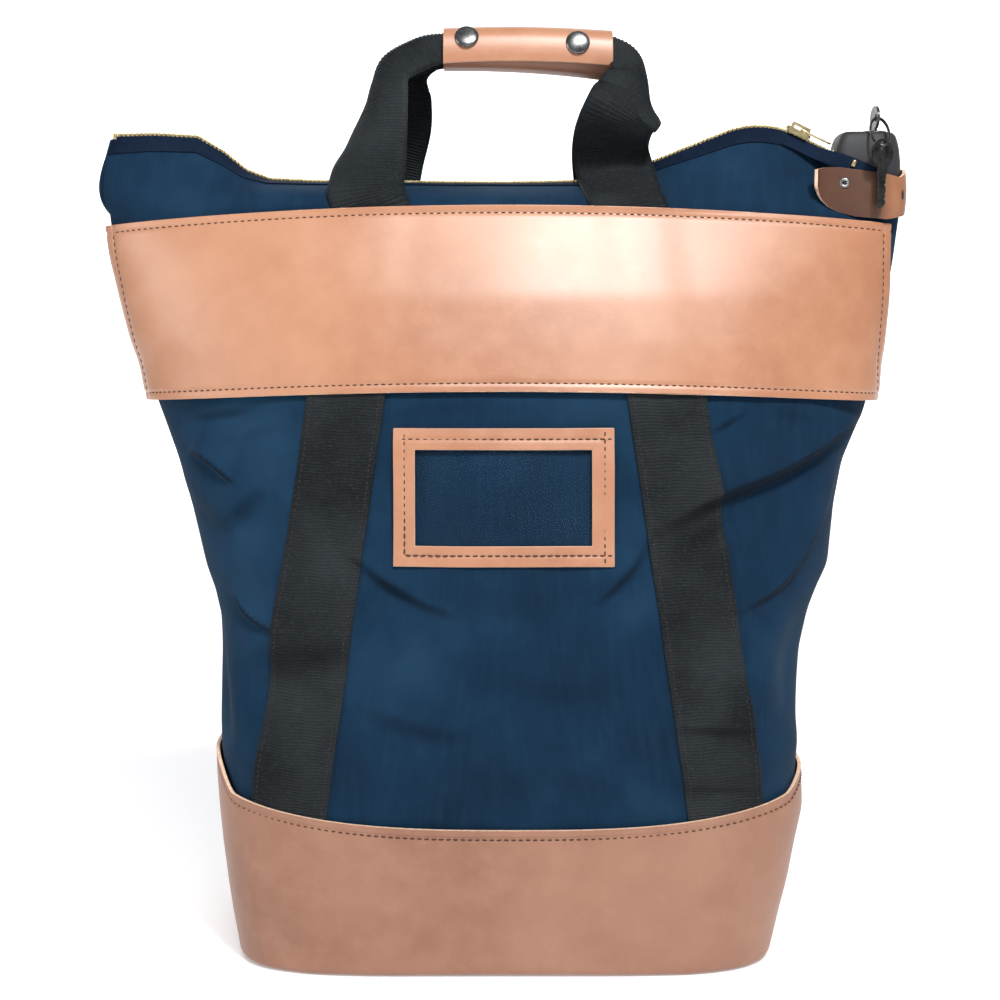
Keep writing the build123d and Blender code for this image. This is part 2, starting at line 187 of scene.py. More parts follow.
def edge_spaced(low, high, fine, step):
    """Rows from low to high, closer together near both ends. fine lists distances from an end."""
    inner = [d for d in fine if d < (high - low) / 2]
    middle = np.linspace(low + inner[-1], high - inner[-1], max(2, int((high - low - 2 * inner[-1]) / step)))
    return np.unique(np.r_[low, [low + d for d in inner], middle, [high - d for d in inner], high])


# ---------------------------------------------------------------- materials


class Shader:
    """A small wrapper that makes node trees short to write."""

    def __init__(self, name):
        self.mat = bpy.data.materials.new(name)
        self.mat.use_nodes = True
        self.tree = self.mat.node_tree
        self.bsdf = self.tree.nodes["Principled BSDF"]
        self.heights = []

    def node(self, kind, **values):
        made = self.tree.nodes.new(kind)
        for key, value in values.items():
            if key.startswith("in_"):
                made.inputs[key[3:].replace("_", " ")].default_value = value
            else:
                setattr(made, key, value)
        return made

    def link(self, a, b):
        self.tree.links.new(a, b)

    def coords(self, kind="Object", scale=(1, 1, 1), rotation=(0, 0, 0)):
        where = self.node("ShaderNodeTexCoord")
        mapping = self.node("ShaderNodeMapping")
        mapping.inputs["Scale"].default_value = scale
        mapping.inputs["Rotation"].default_value = rotation
        self.link(where.outputs[kind], mapping.inputs["Vector"])
        return mapping.outputs["Vector"]

    def noise(self, scale, detail=4.0, rough=0.55, coords=None):
        tex = self.node("ShaderNodeTexNoise", in_Scale=scale, in_Detail=detail, in_Roughness=rough)
        self.link(coords or self.coords(), tex.inputs["Vector"])
        return tex.outputs["Fac"]

    def ramp(self, value, stops):
        made = self.node("ShaderNodeValToRGB")
        ramp = made.color_ramp
        while len(ramp.elements) < len(stops):
            ramp.elements.new(0.5)
        for element, (at, color) in zip(ramp.elements, stops):
            element.position = at
            element.color = (*color, 1) if len(color) == 3 else color
        self.link(value, made.inputs["Fac"])
        return made.outputs["Color"]

    def spread(self, value, low, high, from_low=0.0, from_high=1.0):
        made = self.node("ShaderNodeMapRange", in_From_Min=from_low, in_From_Max=from_high,
                         in_To_Min=low, in_To_Max=high)
        self.link(value, made.inputs["Value"])
        return made.outputs["Result"]

    def math(self, kind, a, b=None):
        made = self.node("ShaderNodeMath", operation=kind)
        for socket, value in zip(made.inputs, (a, b)):
            if value is None:
                continue
            if isinstance(value, (int, float)):
                socket.default_value = value
            else:
                self.link(value, socket)
        return made.outputs["Value"]

    def mix(self, factor, a, b, kind="MIX"):
        made = self.node("ShaderNodeMix", data_type="RGBA", blend_type=kind)
        for socket, value in ((made.inputs["Factor"], factor), (made.inputs["A"], a), (made.inputs["B"], b)):
            if isinstance(value, (int, float)):
                socket.default_value = value
            elif isinstance(value, tuple):
                socket.default_value = (*value, 1)
            else:
                self.link(value, socket)
        return made.outputs["Result"]

    def paint_fold_shade(self, tone, base, strength):
        """Painted shade: darkens the colour by the shade attribute, which is written where cloth faces down under
        a fold, to stand in for the shade there.
        """
        shade = self.node("ShaderNodeAttribute", attribute_name="shade").outputs["Fac"]
        return self.mix(self.math("MULTIPLY", shade, strength), tone, tuple(0.2 * b for b in base))

    def bump(self, height, strength, distance):
        self.heights.append((height, strength, distance))

    def finish(self, color=None, rough=None, **sockets):
        if color is not None:
            if isinstance(color, tuple):
                self.bsdf.inputs["Base Color"].default_value = (*color, 1)
            else:
                self.link(color, self.bsdf.inputs["Base Color"])
        if rough is not None:
            if isinstance(rough, (int, float)):
                self.bsdf.inputs["Roughness"].default_value = rough
            else:
                self.link(rough, self.bsdf.inputs["Roughness"])
        for key, value in sockets.items():
            self.bsdf.inputs[key.replace("_", " ")].default_value = value
        normal = None
        for height, strength, distance in self.heights:
            made = self.node("ShaderNodeBump", in_Strength=strength, in_Distance=distance)
            self.link(height, made.inputs["Height"])
            if normal is not None:
                self.link(normal, made.inputs["Normal"])
            normal = made.outputs["Normal"]
        if normal is not None:
            self.link(normal, self.bsdf.inputs["Normal"])
        return self.mat


def canvas_material(name, base, light):
    s = Shader(name)
    uv = s.coords("UV")
    warp = s.node("ShaderNodeTexWave", bands_direction="X", in_Scale=640.0, in_Distortion=0.6, in_Detail=1.0)
    weft = s.node("ShaderNodeTexWave", bands_direction="Y", in_Scale=640.0, in_Distortion=0.6, in_Detail=1.0)
    s.link(uv, warp.inputs["Vector"])
    s.link(uv, weft.inputs["Vector"])
    weave = s.math("MAXIMUM", warp.outputs["Fac"], weft.outputs["Fac"])
    cloud = s.noise(9.0, 5.0, 0.6)
    slub = s.noise(240.0, 3.0, 0.6, s.coords("UV", (1, 0.12, 1)))
    tone = s.ramp(cloud, [(0.32, tuple(0.66 * b for b in base)), (0.5, base), (0.7, light)])
    tone = s.mix(s.spread(slub, 0.0, 0.35, 0.45, 0.8), tone, light)
    tone = s.mix(s.spread(weave, 0.45, 0.0), tone, tuple(0.45 * b for b in base))
    # painted shade under the canvas folds, from the shade attribute
    tone = s.paint_fold_shade(tone, base, 0.8)
    s.bump(s.noise(24.0, 4.0), 0.25, 0.0016)
    s.bump(slub, 0.25, 0.0003)
    s.bump(weave, 0.5, 0.0002)
    return s.finish(tone, s.spread(cloud, 0.72, 0.9), Sheen_Weight=0.02, Sheen_Roughness=0.5,
                    Specular_IOR_Level=0.1)


def leather_material(name, base, light, dark, rough, coat, painted_shadow_x=None):
    s = Shader(name)
    cloud = s.noise(7.0, 6.0, 0.6)
    fine = s.noise(60.0, 5.0, 0.65)
    pores = s.node("ShaderNodeTexVoronoi", in_Scale=900.0)
    s.link(s.coords(), pores.inputs["Vector"])
    tone = s.ramp(cloud, [(0.25, dark), (0.5, base), (0.75, light)])
    tone = s.mix(s.spread(fine, 0.0, 0.5, 0.45, 0.75), tone, light)
    tone = s.mix(s.spread(pores.outputs["Distance"], 0.18, 0.0, 0.0, 0.35), tone, dark)
    if painted_shadow_x:
        # painted shadow: the leather turns darker left of the given x
        spot = s.node("ShaderNodeSeparateXYZ")
        s.link(s.coords(), spot.inputs["Vector"])
        tone = s.mix(s.spread(spot.outputs["X"], 0.9, 0.0, *painted_shadow_x), tone, tuple(0.6 * v for v in dark))
    s.bump(fine, 0.12, 0.0006)
    s.bump(pores.outputs["Distance"], 0.16, 0.0002)
    return s.finish(tone, s.spread(fine, rough - 0.07, rough + 0.1), Coat_Weight=coat, Coat_Roughness=0.43,
                    Specular_IOR_Level=0.5)


def raw_edge_material():
    s = Shader("raw_leather_edge")
    fibre = s.noise(420.0, 3.0, 0.7)
    tone = s.ramp(fibre, [(0.3, (0.62, 0.38, 0.25)), (0.6, (0.80, 0.56, 0.40)), (0.8, (0.88, 0.68, 0.52))])
    s.bump(fibre, 0.4, 0.0003)
    return s.finish(tone, 0.8)


def webbing_material(name, base, light, gloss):
    s = Shader(name)
    uv = s.coords("UV")
    cords = s.node("ShaderNodeTexWave", bands_direction="X", in_Scale=300.0, in_Distortion=0.3)
    s.link(uv, cords.inputs["Vector"])
    fuzz = s.noise(500.0, 3.0, 0.7)
    cloud = s.noise(14.0, 4.0)
    tone = s.mix(s.spread(cloud, 0.0, 0.8, 0.38, 0.66), base, light)
    tone = s.mix(s.spread(fuzz, 0.0, 0.45, 0.5, 0.75), tone, tuple(1.8 * v for v in light))
    # painted shade where the straps lie in the canvas folds, from the shade attribute
    tone = s.paint_fold_shade(tone, base, 0.85)
    s.bump(cords.outputs["Fac"], 0.12, 0.0001)
    s.bump(fuzz, 0.3, 0.00015)
    return s.finish(tone, s.spread(fuzz, 0.6, 0.85), Sheen_Weight=0.15 * gloss, Sheen_Roughness=0.4,
                    Specular_IOR_Level=gloss)


def metal_material(name, base, dark, rough, scratch=0.12):
    s = Shader(name)
    cloud = s.noise(160.0, 4.0, 0.6)
    scratches = s.noise(900.0, 2.0, 0.5, s.coords("Object", (1, 1, 0.08)))
    tone = s.ramp(cloud, [(0.3, dark), (0.6, base), (0.85, tuple(min(1.0, 1.15 * b) for b in base))])
    s.bump(scratches, scratch, 0.00008)
    return s.finish(tone, s.spread(scratches, rough - 0.06, rough + 0.14), Metallic=1.0)


def plain_material(name, base, light, rough, scale=60.0, strength=0.2):
    s = Shader(name)
    cloud = s.noise(scale, 4.0)
    grain = s.noise(scale * 12, 3.0)
    tone = s.mix(s.spread(cloud, 0.0, 0.8, 0.3, 0.75), base, light)
    s.bump(grain, strength, 0.0001)
    return s.finish(tone, s.spread(cloud, rough - 0.08, rough + 0.1))


def vinyl_material():
    s = Shader("clear_vinyl")
    ripple = s.noise(22.0, 3.0)
    s.bump(ripple, 0.12, 0.0012)
    tone = s.ramp(ripple, [(0.3, (0.02, 0.03, 0.05)), (0.7, (0.05, 0.06, 0.09))])
    mat = s.finish(tone, s.spread(ripple, 0.08, 0.16), Alpha=0.05, Specular_IOR_Level=0.3)
    mat.surface_render_method = "BLENDED"
    return mat


CANVAS = canvas_material("navy_canvas", (0.0045, 0.0245, 0.056), (0.012, 0.045, 0.090))
SADDLE = leather_material("saddle_leather", (0.44, 0.19, 0.096), (0.53, 0.255, 0.14), (0.33, 0.125, 0.056),
                          0.42, 1.0)
WRAP = leather_material("wrap_leather", (0.30, 0.138, 0.082), (0.38, 0.195, 0.125), (0.215, 0.088, 0.048),
                        0.46, 0.12)
CUP_PAINTED_SHADOW_X = (0.243, 0.256)   # painted shadow: the cup's leather is darkened left of here, where the zip tape and the key throw shade
# painted shade: the cup is a darker copy of the saddle leather, and darker still left of the x above
CUP = leather_material("cup_leather", (0.30, 0.125, 0.06), (0.42, 0.19, 0.10), (0.10, 0.038, 0.019), 0.42, 0.15,
                       CUP_PAINTED_SHADOW_X)
EDGE = raw_edge_material()
WEBBING = webbing_material("black_webbing", (0.0055, 0.0075, 0.009), (0.021, 0.026, 0.029), 0.16)
TAPE = webbing_material("zip_tape", (0.004, 0.009, 0.022), (0.008, 0.017, 0.036), 0.04)
BRASS = metal_material("brass", (0.72, 0.60, 0.34), (0.46, 0.36, 0.18), 0.30)
GUNMETAL = metal_material("gunmetal", (0.21, 0.21, 0.21), (0.09, 0.09, 0.09), 0.24)
KEY_STEEL = metal_material("key_steel", (0.105, 0.105, 0.10), (0.03, 0.03, 0.03), 0.34)
ZINC = metal_material("zinc", (0.42, 0.42, 0.42), (0.25, 0.25, 0.25), 0.33)
LOCK_BLACK = plain_material("lock_black", (0.012, 0.013, 0.015), (0.03, 0.032, 0.036), 0.62)
THREAD = plain_material("brown_thread", (0.035, 0.013, 0.007), (0.08, 0.032, 0.015), 0.7, 300.0, 0.4)
DARK_THREAD = plain_material("dark_thread", (0.018, 0.009, 0.009), (0.05, 0.024, 0.022), 0.75, 300.0, 0.4)
VINYL = vinyl_material()
BOARD = plain_material("grey_board", (0.22, 0.17, 0.12), (0.34, 0.27, 0.19), 0.85)

# ---------------------------------------------------------------- the shape of the bag

# Height, left edge, right edge, half-depth and roundness of the canvas
PROFILE = np.array([
    (0, -178, 173, 95, 4.9),
    (50, -186, 185, 100, 4.4),
    (100, -191, 196, 102, 3.9),
    (160, -194, 195, 103, 3.5),
    (205, -194, 199, 102, 3.1),
    (230, -195, 205, 102, 2.8),
    (245, -199, 211, 101, 2.7),
    (260, -205, 219, 100, 2.6),
    (300, -215, 223, 97, 2.4),
    (330, -223, 228, 95, 2.3),
    (365, -236, 243, 90, 2.1),
    (410, -252, 253, 80, 2.0),
    (440, -260, 257, 72, 1.9),
    (465, -265, 261, 62, 1.8),
    (495, -268.5, 264.5, 50, 1.7),
])
WALL_TOP = 495.0
FINE_Z = np.arange(0.0, WALL_TOP + 1, 2.0)


def smooth_column(k, sigma=3.6):
    values = np.interp(FINE_Z, PROFILE[:, 0], PROFILE[:, k])
    reach = np.arange(-20, 21) * 2.0
    kernel = np.exp(-0.5 * (reach / sigma) ** 2)
    padded = np.r_[2 * values[0] - values[20:0:-1], values, 2 * values[-1] - values[-2:-22:-1]]
    return np.convolve(padded, kernel / kernel.sum(), mode="valid")


COLUMNS = [smooth_column(k) for k in range(1, 5)]


def section(z):
    left, right, depth, power = [np.interp(z, FINE_Z, column) for column in COLUMNS]
    return (left + right) / 2, (right - left) / 2, depth, power


def nearest(x, z, pts):
    """For a line of (x, z) points: distance, distance signed by side, share of the line and distance past
    its end."""
    lengths = np.linalg.norm(np.diff(pts, axis=0), axis=1)
    starts = np.r_[0, np.cumsum(lengths)]
    best = np.full(np.shape(x), 1e9)
    signed, along, beyond = (np.zeros(np.shape(x)) for _ in range(3))
    for a, b, start, length in zip(pts, pts[1:], starts, lengths):
        ab = b - a
        share = ((x - a[0]) * ab[0] + (z - a[1]) * ab[1]) / (ab @ ab)
        t = np.clip(share, 0, 1)
        dx, dz = x - a[0] - t * ab[0], z - a[1] - t * ab[1]
        d = np.hypot(dx, dz)
        closer = d < best
        best = np.where(closer, d, best)
        signed = np.where(closer, np.sign(ab[0] * dz - ab[1] * dx) * d, signed)
        along = np.where(closer, (start + t * length) / starts[-1], along)
        beyond = np.where(closer, np.abs(share - t) * length, beyond)
    return best, signed, along, beyond


def crease(x, z, path, width, depth, lip=0.45):
    """A fold along a line of (x, z) points: a valley with a soft lip on both sides, fading at its ends."""
    best, _, along, _ = nearest(x, z, np.asarray(path, float))
    fade = np.sin(np.pi * np.clip(along * 0.92 + 0.04, 0, 1)) ** 0.7
    valley = np.exp(-(best / width) ** 2)
    ridge = np.exp(-((best - 2.1 * width) / (1.1 * width)) ** 2)
    return 1.45 * depth * fade * (-valley + lip * ridge)


def softened(path, rounds=2):
    """The path with its corners cut away, so that a fold runs in a soft curve."""
    points = np.asarray(path, float)
    for _ in range(rounds):
        a, b = points[:-1], points[1:]
        cut = np.stack([0.75 * a + 0.25 * b, 0.25 * a + 0.75 * b], axis=1).reshape(-1, 2)
        points = np.vstack([points[:1], cut, points[-1:]])
    return points


def tuck(x, z, path, widths, depth):
    """Cloth that hangs over along a line: it stands out above the line and drops back under it.
    widths are the drop's half width at the path's start and end."""
    pts = softened(path)
    _, signed, along, beyond = nearest(x, z, pts)
    down = -1.0 if pts[-1][0] > pts[0][0] else 1.0
    t = signed * down / (widths[0] + (widths[1] - widths[0]) * along)
    fade = np.sin(np.pi * np.clip(along, 0.015, 0.985)) ** 0.6 * np.exp(-(beyond / 5.0) ** 2)
    over = np.exp(-(np.minimum(t, 0) / 3.0) ** 2)
    drop = np.where(t > 0, 1.5 * np.exp(-(t / 0.75) ** 2) - 0.5 * np.exp(-(t / 3.2) ** 2), over)
    return depth * fade * drop


# Overhanging folds of the front canvas: path, widths at both ends, depth
FRONT_TUCKS = [
    ([(240, 360), (180, 330), (130, 315), (95, 295)], (2.5, 11.0), 8.5),
    ([(220, 330), (205, 290), (180, 255), (150, 240)], (9.0, 5.0), 5.5),
    ([(-175, 320), (-195, 335), (-210, 340)], (3.0, 3.0), 5.0),
    ([(-160, 325), (-180, 305), (-190, 290)], (12.0, 16.0), 6.5),
    ([(-150, 225), (-170, 235), (-180, 250)], (2.5, 2.5), 4.0),
    ([(-100, 280), (-70, 255), (-30, 240)], (5.0, 7.0), 3.5),
    ([(90, 295), (75, 265), (50, 245)], (6.0, 7.0), 4.0),
    ([(155, 370), (130, 355)], (3.5, 3.5), 2.5),
    ([(-175, 215), (-95, 225)], (20.0, 20.0), 4.5),
    ([(105, 170), (165, 165)], (8.0, 8.0), 3.0),
    ([(110, 130), (165, 125)], (6.0, 6.0), 2.0),
    ([(-95, 185), (-55, 170), (-20, 165)], (12.0, 12.0), 3.0),
]
# Folds of the front canvas: path, width, depth
FRONT_FOLDS = [
    ([(150, 300), (128, 284), (112, 270)], 6.0, 1.6),
    ([(30, 240), (62, 252), (92, 262)], 10.0, 1.4),
    ([(196, 232), (188, 205), (183, 165)], 9.0, 2.6),
    ([(128, 250), (118, 200), (124, 160)], 14.0, 1.2),
    ([(-156, 232), (-152, 195), (-160, 150)], 8.0, 2.0),
    ([(-150, 372), (-178, 362), (-210, 356)], 5.0, 2.0),
    ([(-192, 225), (-188, 190), (-184, 150)], 5.0, 2.4),
    ([(-62, 258), (-82, 236), (-96, 200)], 12.0, 2.0),
    ([(-20, 190), (30, 178), (90, 186)], 14.0, 1.8),
    ([(-30, 240), (0, 232), (34, 226)], 13.0, 1.5),
    ([(-110, 352), (-60, 366), (0, 369)], 8.0, 1.4),
    ([(150, 372), (186, 358), (214, 352)], 6.0, 1.4),
]
# The same two kinds for the back, which is a guess
BACK_FOLDS = [
    ([(225, 352), (195, 330), (160, 300), (130, 285)], 8.0, 5.5),
    ([(-230, 350), (-200, 322), (-170, 300), (-140, 296)], 8.0, 5.5),
    ([(-210, 290), (-190, 260), (-176, 220)], 10.0, 4.0),
    ([(212, 262), (196, 232), (186, 190)], 10.0, 4.0),
    ([(-50, 300), (0, 286), (55, 296)], 16.0, 2.6),
    ([(-90, 210), (-20, 196), (60, 205)], 16.0, 2.2),
    ([(20, 350), (60, 330), (80, 290)], 12.0, 2.0),
]
BACK_TUCKS = [
    ([(238, 356), (204, 340), (168, 318), (128, 300)], (2.0, 9.0), 4.2),
    ([(-130, 296), (-168, 312), (-200, 332), (-232, 352)], (9.0, 2.5), 4.2),
    ([(-182, 262), (-168, 240), (-150, 228)], (6.0, 5.0), 3.0),
    ([(60, 246), (0, 236), (-58, 248)], (9.0, 9.0), 2.4),
]
WAVES = [(rng.uniform(-1, 1, 2), rng.uniform(0, 6.28)) for i in range(10)]


def swell(x, z, shift):
    """Gentle unevenness of stuffed cloth."""
    total = np.zeros(np.shape(x))
    for i, (way, phase) in enumerate(WAVES):
        scale = 0.012 + 0.006 * i
        total = total + np.sin((x * way[0] + z * way[1]) * scale * 2 + phase + shift) / (1 + 0.6 * i)
    return total


def folds(x, z, side):
    """How far the canvas stands out of its smooth shape."""
    free = smoothstep((z - 105) / 45) * smoothstep((376 - z) / 26)
    out = 1.3 * swell(x, z, 0.0 if side < 0 else 2.0) * (0.15 + 0.85 * free)
    # the filled cloth bulges over the boot and is held in by the band
    out = out + 2.2 * np.exp(-((z - 138) / 26) ** 2) * free
    for path, width, depth in (FRONT_FOLDS if side < 0 else BACK_FOLDS):
        out = out + crease(x, z, path, width, depth) * np.clip(free + 0.15, 0, 1)
    for path, widths, depth in (FRONT_TUCKS if side < 0 else BACK_TUCKS):
        out = out + tuck(x, z, path, widths, depth) * np.clip(free + 0.1, 0, 1)
    return out


def fold_shade(x, z, side):
    """From 0 on open cloth to 1 where it faces down under a fold: painted shade on top of the shape."""
    rise = (folds(x, z + 1.2, side) - folds(x, z - 1.2, side)) / 2.4
    return np.clip(1.2 * rise - 0.06, 0, 1)


def set_shade(obj, values):
    layer = obj.data.attributes.new("shade", "FLOAT", "POINT")
    layer.data.foreach_set("value", np.ravel(values).astype(np.float32))


def wall(theta, z, proud, side=-1, smooth_only=0.0):
    """Point of the wall at angle theta, pi at the left seam and 0 at the right, and height z.
    side is -1 on the front and 1 on the back. smooth_only from 0 to 1 leaves the folds out."""
    middle, width, depth, power = section(z)
    c, s = np.cos(theta), np.abs(np.sin(theta))
    u = np.sign(c) * np.abs(c) ** (2 / power)
    v = s ** (2 / power)
    nx = np.sign(u) * np.abs(u) ** (power - 1) / width
    ny = v ** (power - 1) / depth
    size = np.maximum(np.hypot(nx, ny), 1e-9)
    x = middle + width * u
    lift = proud + folds(x, z, side) * (1 - smooth_only) * smoothstep(s / 0.4)
    return np.stack([x + nx / size * lift, side * (depth * v + ny / size * lift), z + 0 * x], axis=-1)


def theta_at(x, z):
    """The angle at which the smooth wall has this x."""
    middle, width, depth, power = section(z)
    u = np.clip((x - middle) / width, -1, 1)
    return np.arccos(np.sign(u) * np.abs(u) ** (power / 2))


def on_wall(x, z, proud, side=-1, smooth_only=0.0):
    x, z = np.broadcast_arrays(np.asarray(x, float), np.asarray(z, float))
    return wall(theta_at(x, z), z, proud, side, smooth_only)


# The zip's hump by the lock is one arc, then a straight fall
ARC_R, ARC_X, ARC_Z = 60.0, 168.0, 492.4
SLOPE = math.radians(25.4)
REST_X, REST_Z = ARC_X + ARC_R * math.sin(SLOPE), ARC_Z + ARC_R * math.cos(SLOPE)
HUMP_IN = (ARC_X - ARC_R * math.sin(math.radians(20)), ARC_Z + ARC_R * math.cos(math.radians(20)))
# Line of the zip left of the hump: x and height
RIDGE = np.array([
    (-273, 541.5), (-268, 545.2), (-262, 546.5), (-236, 547), (-208, 545.5), (-190, 535), (-176, 523.5),
    (-160, 517.5), (-130, 516), (0, 515), (48, 516), (75, 521), (99, 529.5), (120, 538), HUMP_IN,
])


def ridge(x):
    """Height of the zip at x."""
    x = np.asarray(x, float)
    left = np.interp(x, RIDGE[:, 0], RIDGE[:, 1])
    arc = ARC_Z + np.sqrt(np.maximum(ARC_R ** 2 - (x - ARC_X) ** 2, 0))
    fall = REST_Z - (x - REST_X) * math.tan(SLOPE)
    return np.where(x < HUMP_IN[0], left, np.where(x < REST_X, arc, fall))


# ---------------------------------------------------------------- canvas body

THETAS = np.linspace(math.pi, 0, 261)
WALL_Z = np.linspace(2.6, WALL_TOP, 230)
TOP_STEPS = np.linspace(0, 1, 30)[1:]
CHAIN_Y = 2.2          # the cloth's edge stops this far from the zip's middle
LOCK_FROM = 219.0      # right of here the mouth stays low, under the lock
CLOTH = 1.2


def mouth_point(x, foot, k, side, proud=0.0):
    """A point of the top stretch: k is 0 at the wall's top and 1 at the zip. foot is the wall's top there."""
    top_z = np.where(x > LOCK_FROM, WALL_TOP + 1.2, ridge(x * 0.992))
    end = np.stack([x * 0.992, side * (CHAIN_Y + 0 * x), top_z], axis=-1)
    rise = np.linalg.norm(end - foot, axis=-1, keepdims=True)
    lean = np.array([0.0, -0.35 * side, 1.0])
    knee = foot + lean * np.minimum(13.0, 0.42 * rise)
    uneven = 1.6 * swell(x, top_z * 1.7, 1.0 + side)
    puff = np.sin(np.pi * k) * uneven[..., None] * np.array([0.0, side * 1.0, 0.3])
    bulge = -7.0 * np.sin(np.pi * k) * smoothstep((-x - 215) / 50)
    puff = puff + bulge[..., None] * np.array([1.0, 0.0, 0.0])
    near_end = smoothstep((rise - 8) / 20)
    if side > 0:
        sag = 8.5 * np.exp(-((x + 160) / 30) ** 2) * np.sin(np.pi * np.clip(k, 0, 1)) ** 0.8
        puff = puff + sag[..., None] * np.array([0.0, 0.35, 1.0])
    point = (1 - k) ** 2 * foot + 2 * k * (1 - k) * knee + k ** 2 * end + puff * near_end
    normal = np.stack([0 * x, side * (top_z - WALL_TOP), np.abs(foot[..., 1]) + 0.1], axis=-1)
    return point + unit(normal) * proud


def canvas_half(side, name, nodes):
    theta, z = np.meshgrid(THETAS, WALL_Z)
    lower = wall(theta, z, 0.0, side)
    foot = lower[-1]
    upper = np.stack([mouth_point(foot[:, 0], foot, k, side) for k in TOP_STEPS * 0.985])
    points = np.concatenate([lower, upper])
    across = run_along(lower[100])
    up = run_along(points[:, 130])
    uv = uv_grid(across, up)
    obj = grid_object(name, points, [CANVAS], uv, flip=side > 0)
    # painted shade: the shade attribute marks cloth that faces down under a fold
    shade = np.zeros(points.shape[:2])
    shade[:len(lower)] = fold_shade(lower[..., 0], z, side)
    set_shade(obj, shade)
    solidify(obj, CLOTH, -1.0, 0)
    return place(obj, "bag", nodes)


canvas_half(-1, "canvas_front", ("front_panel", "front_mouth_hem"))
canvas_half(1, "canvas_back", ("back_panel", "back_mouth_hem"))

# ---------------------------------------------------------------- stitches


def stitch_row(name, points, normals, mats, body, length=3.9, gap=0.7, radius=0.5, sink=0.12):
    """A row of thread stitches along a line on a surface, all in one mesh."""
    steps = run_along(points)
    count = max(1, int(steps[-1] / (length + gap)))
    centres = (np.arange(count) + 0.5) * steps[-1] / count
    at = at_run(points, steps, centres)
    along = unit(at_run(points, steps, centres + 0.4) - at_run(points, steps, centres - 0.4))
    up = unit(at_run(normals, steps, centres))
    across = unit(np.cross(along, up))
    sides, rings = 6, 5
    verts, faces = [], []
    for i in range(count):
        base = len(verts)
        tilt = rng.normal(0, 0.05)
        way = unit(along[i] + across[i] * tilt)
        for r in range(rings):
            t = r / (rings - 1) * 2 - 1
            size = radius * math.sqrt(max(0.0, 1 - 0.86 * t * t))
            dip = -(radius + 0.25) * abs(t) ** 3
            middle = at[i] + way * t * length / 2 + up[i] * (dip - sink + radius * 0.5)
            for k in range(sides):
                a = 2 * math.pi * k / sides
                verts.append(middle + across[i] * math.cos(a) * size + up[i] * math.sin(a) * size * 0.8)
        faces += grid_faces(rings, sides, closed=True, base=base) + end_caps(rings, sides, base)
    obj = add_mesh(name, verts, faces, mats)
    outward(obj)
    return place(obj, body)


def wall_line(xs, zs, proud, side=-1, smooth_only=0.0):
    """Points and outward normals along a line on the wall."""
    points = on_wall(xs, zs, proud, side, smooth_only)
    outer = on_wall(xs, zs, proud + 1.0, side, smooth_only)
    return points, unit(outer - points)


# ---------------------------------------------------------------- webbing straps on the canvas

STRAP_W = 50.8
RIB = 2.05             # distance between the webbing's ribs


def strap_middle(z, word):
    """x of the middle of a strap at height z."""
    lean, top = ((-0.144, -86.0), (0.148, 83.5))[word == "right"]
    return top + lean * (494 - z)


def strap(side, word, node):
    zs = np.arange(70.0, 493.5, RIB / 4)
    across = np.r_[-1.0, -1.0, -0.985, -0.95, np.linspace(-0.9, 0.9, 15), 0.95, 0.985, 1.0, 1.0]
    high = np.r_[0.1, 1.2, 1.75, 2.0, np.full(15, 2.1), 2.0, 1.75, 1.2, 0.1]
    a, z = np.meshgrid(across, zs)
    x = strap_middle(z, word) + a * STRAP_W / 2
    ribs = 0.36 * np.cos(2 * math.pi * (z + 0.5 * np.sin(0.24 * x + 0.11 * z)) / RIB) * (np.abs(a) < 0.97)
    points = on_wall(x, z, high[None, :] + ribs, side)
    uv = np.stack([a * STRAP_W / 2, z], axis=-1) * MM
    obj = grid_object(f"{node}_visual", points, [WEBBING], uv, flip=side < 0)
    # painted shade under the folds, as on the canvas
    set_shade(obj, fold_shade(x, z, side))
    outward_check(obj, side)
    place(obj, "bag", (node,))
    for edge in (-1, 1):
        line_z = np.linspace(104, 384, 160)
        line_x = strap_middle(line_z, word) + edge * (STRAP_W / 2 - 3.6)
        pts, nor = wall_line(line_x, line_z, 2.15, side)
        stitch_row(f"{node}_stitch_{'left' if edge < 0 else 'right'}", pts, nor, [DARK_THREAD], "bag",
                   2.6, 1.0, 0.38)


def outward_check(obj, side):
    """Turns a front or back skin's faces to look away from the middle of the bag."""
    mesh = obj.data
    total = sum(p.normal.y * p.area for p in mesh.polygons)
    if total * side < 0:
        mesh.flip_normals()


for side, face in ((-1, "front"), (1, "back")):
    for word in ("left", "right"):
        strap(side, word, f"{face}_strap_{word}")

# ---------------------------------------------------------------- leather band

UNDER_BAND = 3.4       # room for the webbing between the canvas and the leather
LEATHER = 2.3
STITCH_IN = 5.0
FINE = (0.5, 1.2, 2.4, 3.6, 4.4, STITCH_IN, 5.6, 6.4, 8.0, 11.0)   # rows close to an edge
BAND_H, BAND_L = 116.5, 520.0


def groove(distance):
    """A shallow dent along a row of stitches."""
    return -0.6 * np.exp(-((distance - STITCH_IN) / 0.9) ** 2)


def band_top(x):
    return 498.2 - 11.0 * (x / 265) ** 2


def band_low(x):
    return 380.0 - 9.5 * (x / 242) ** 2


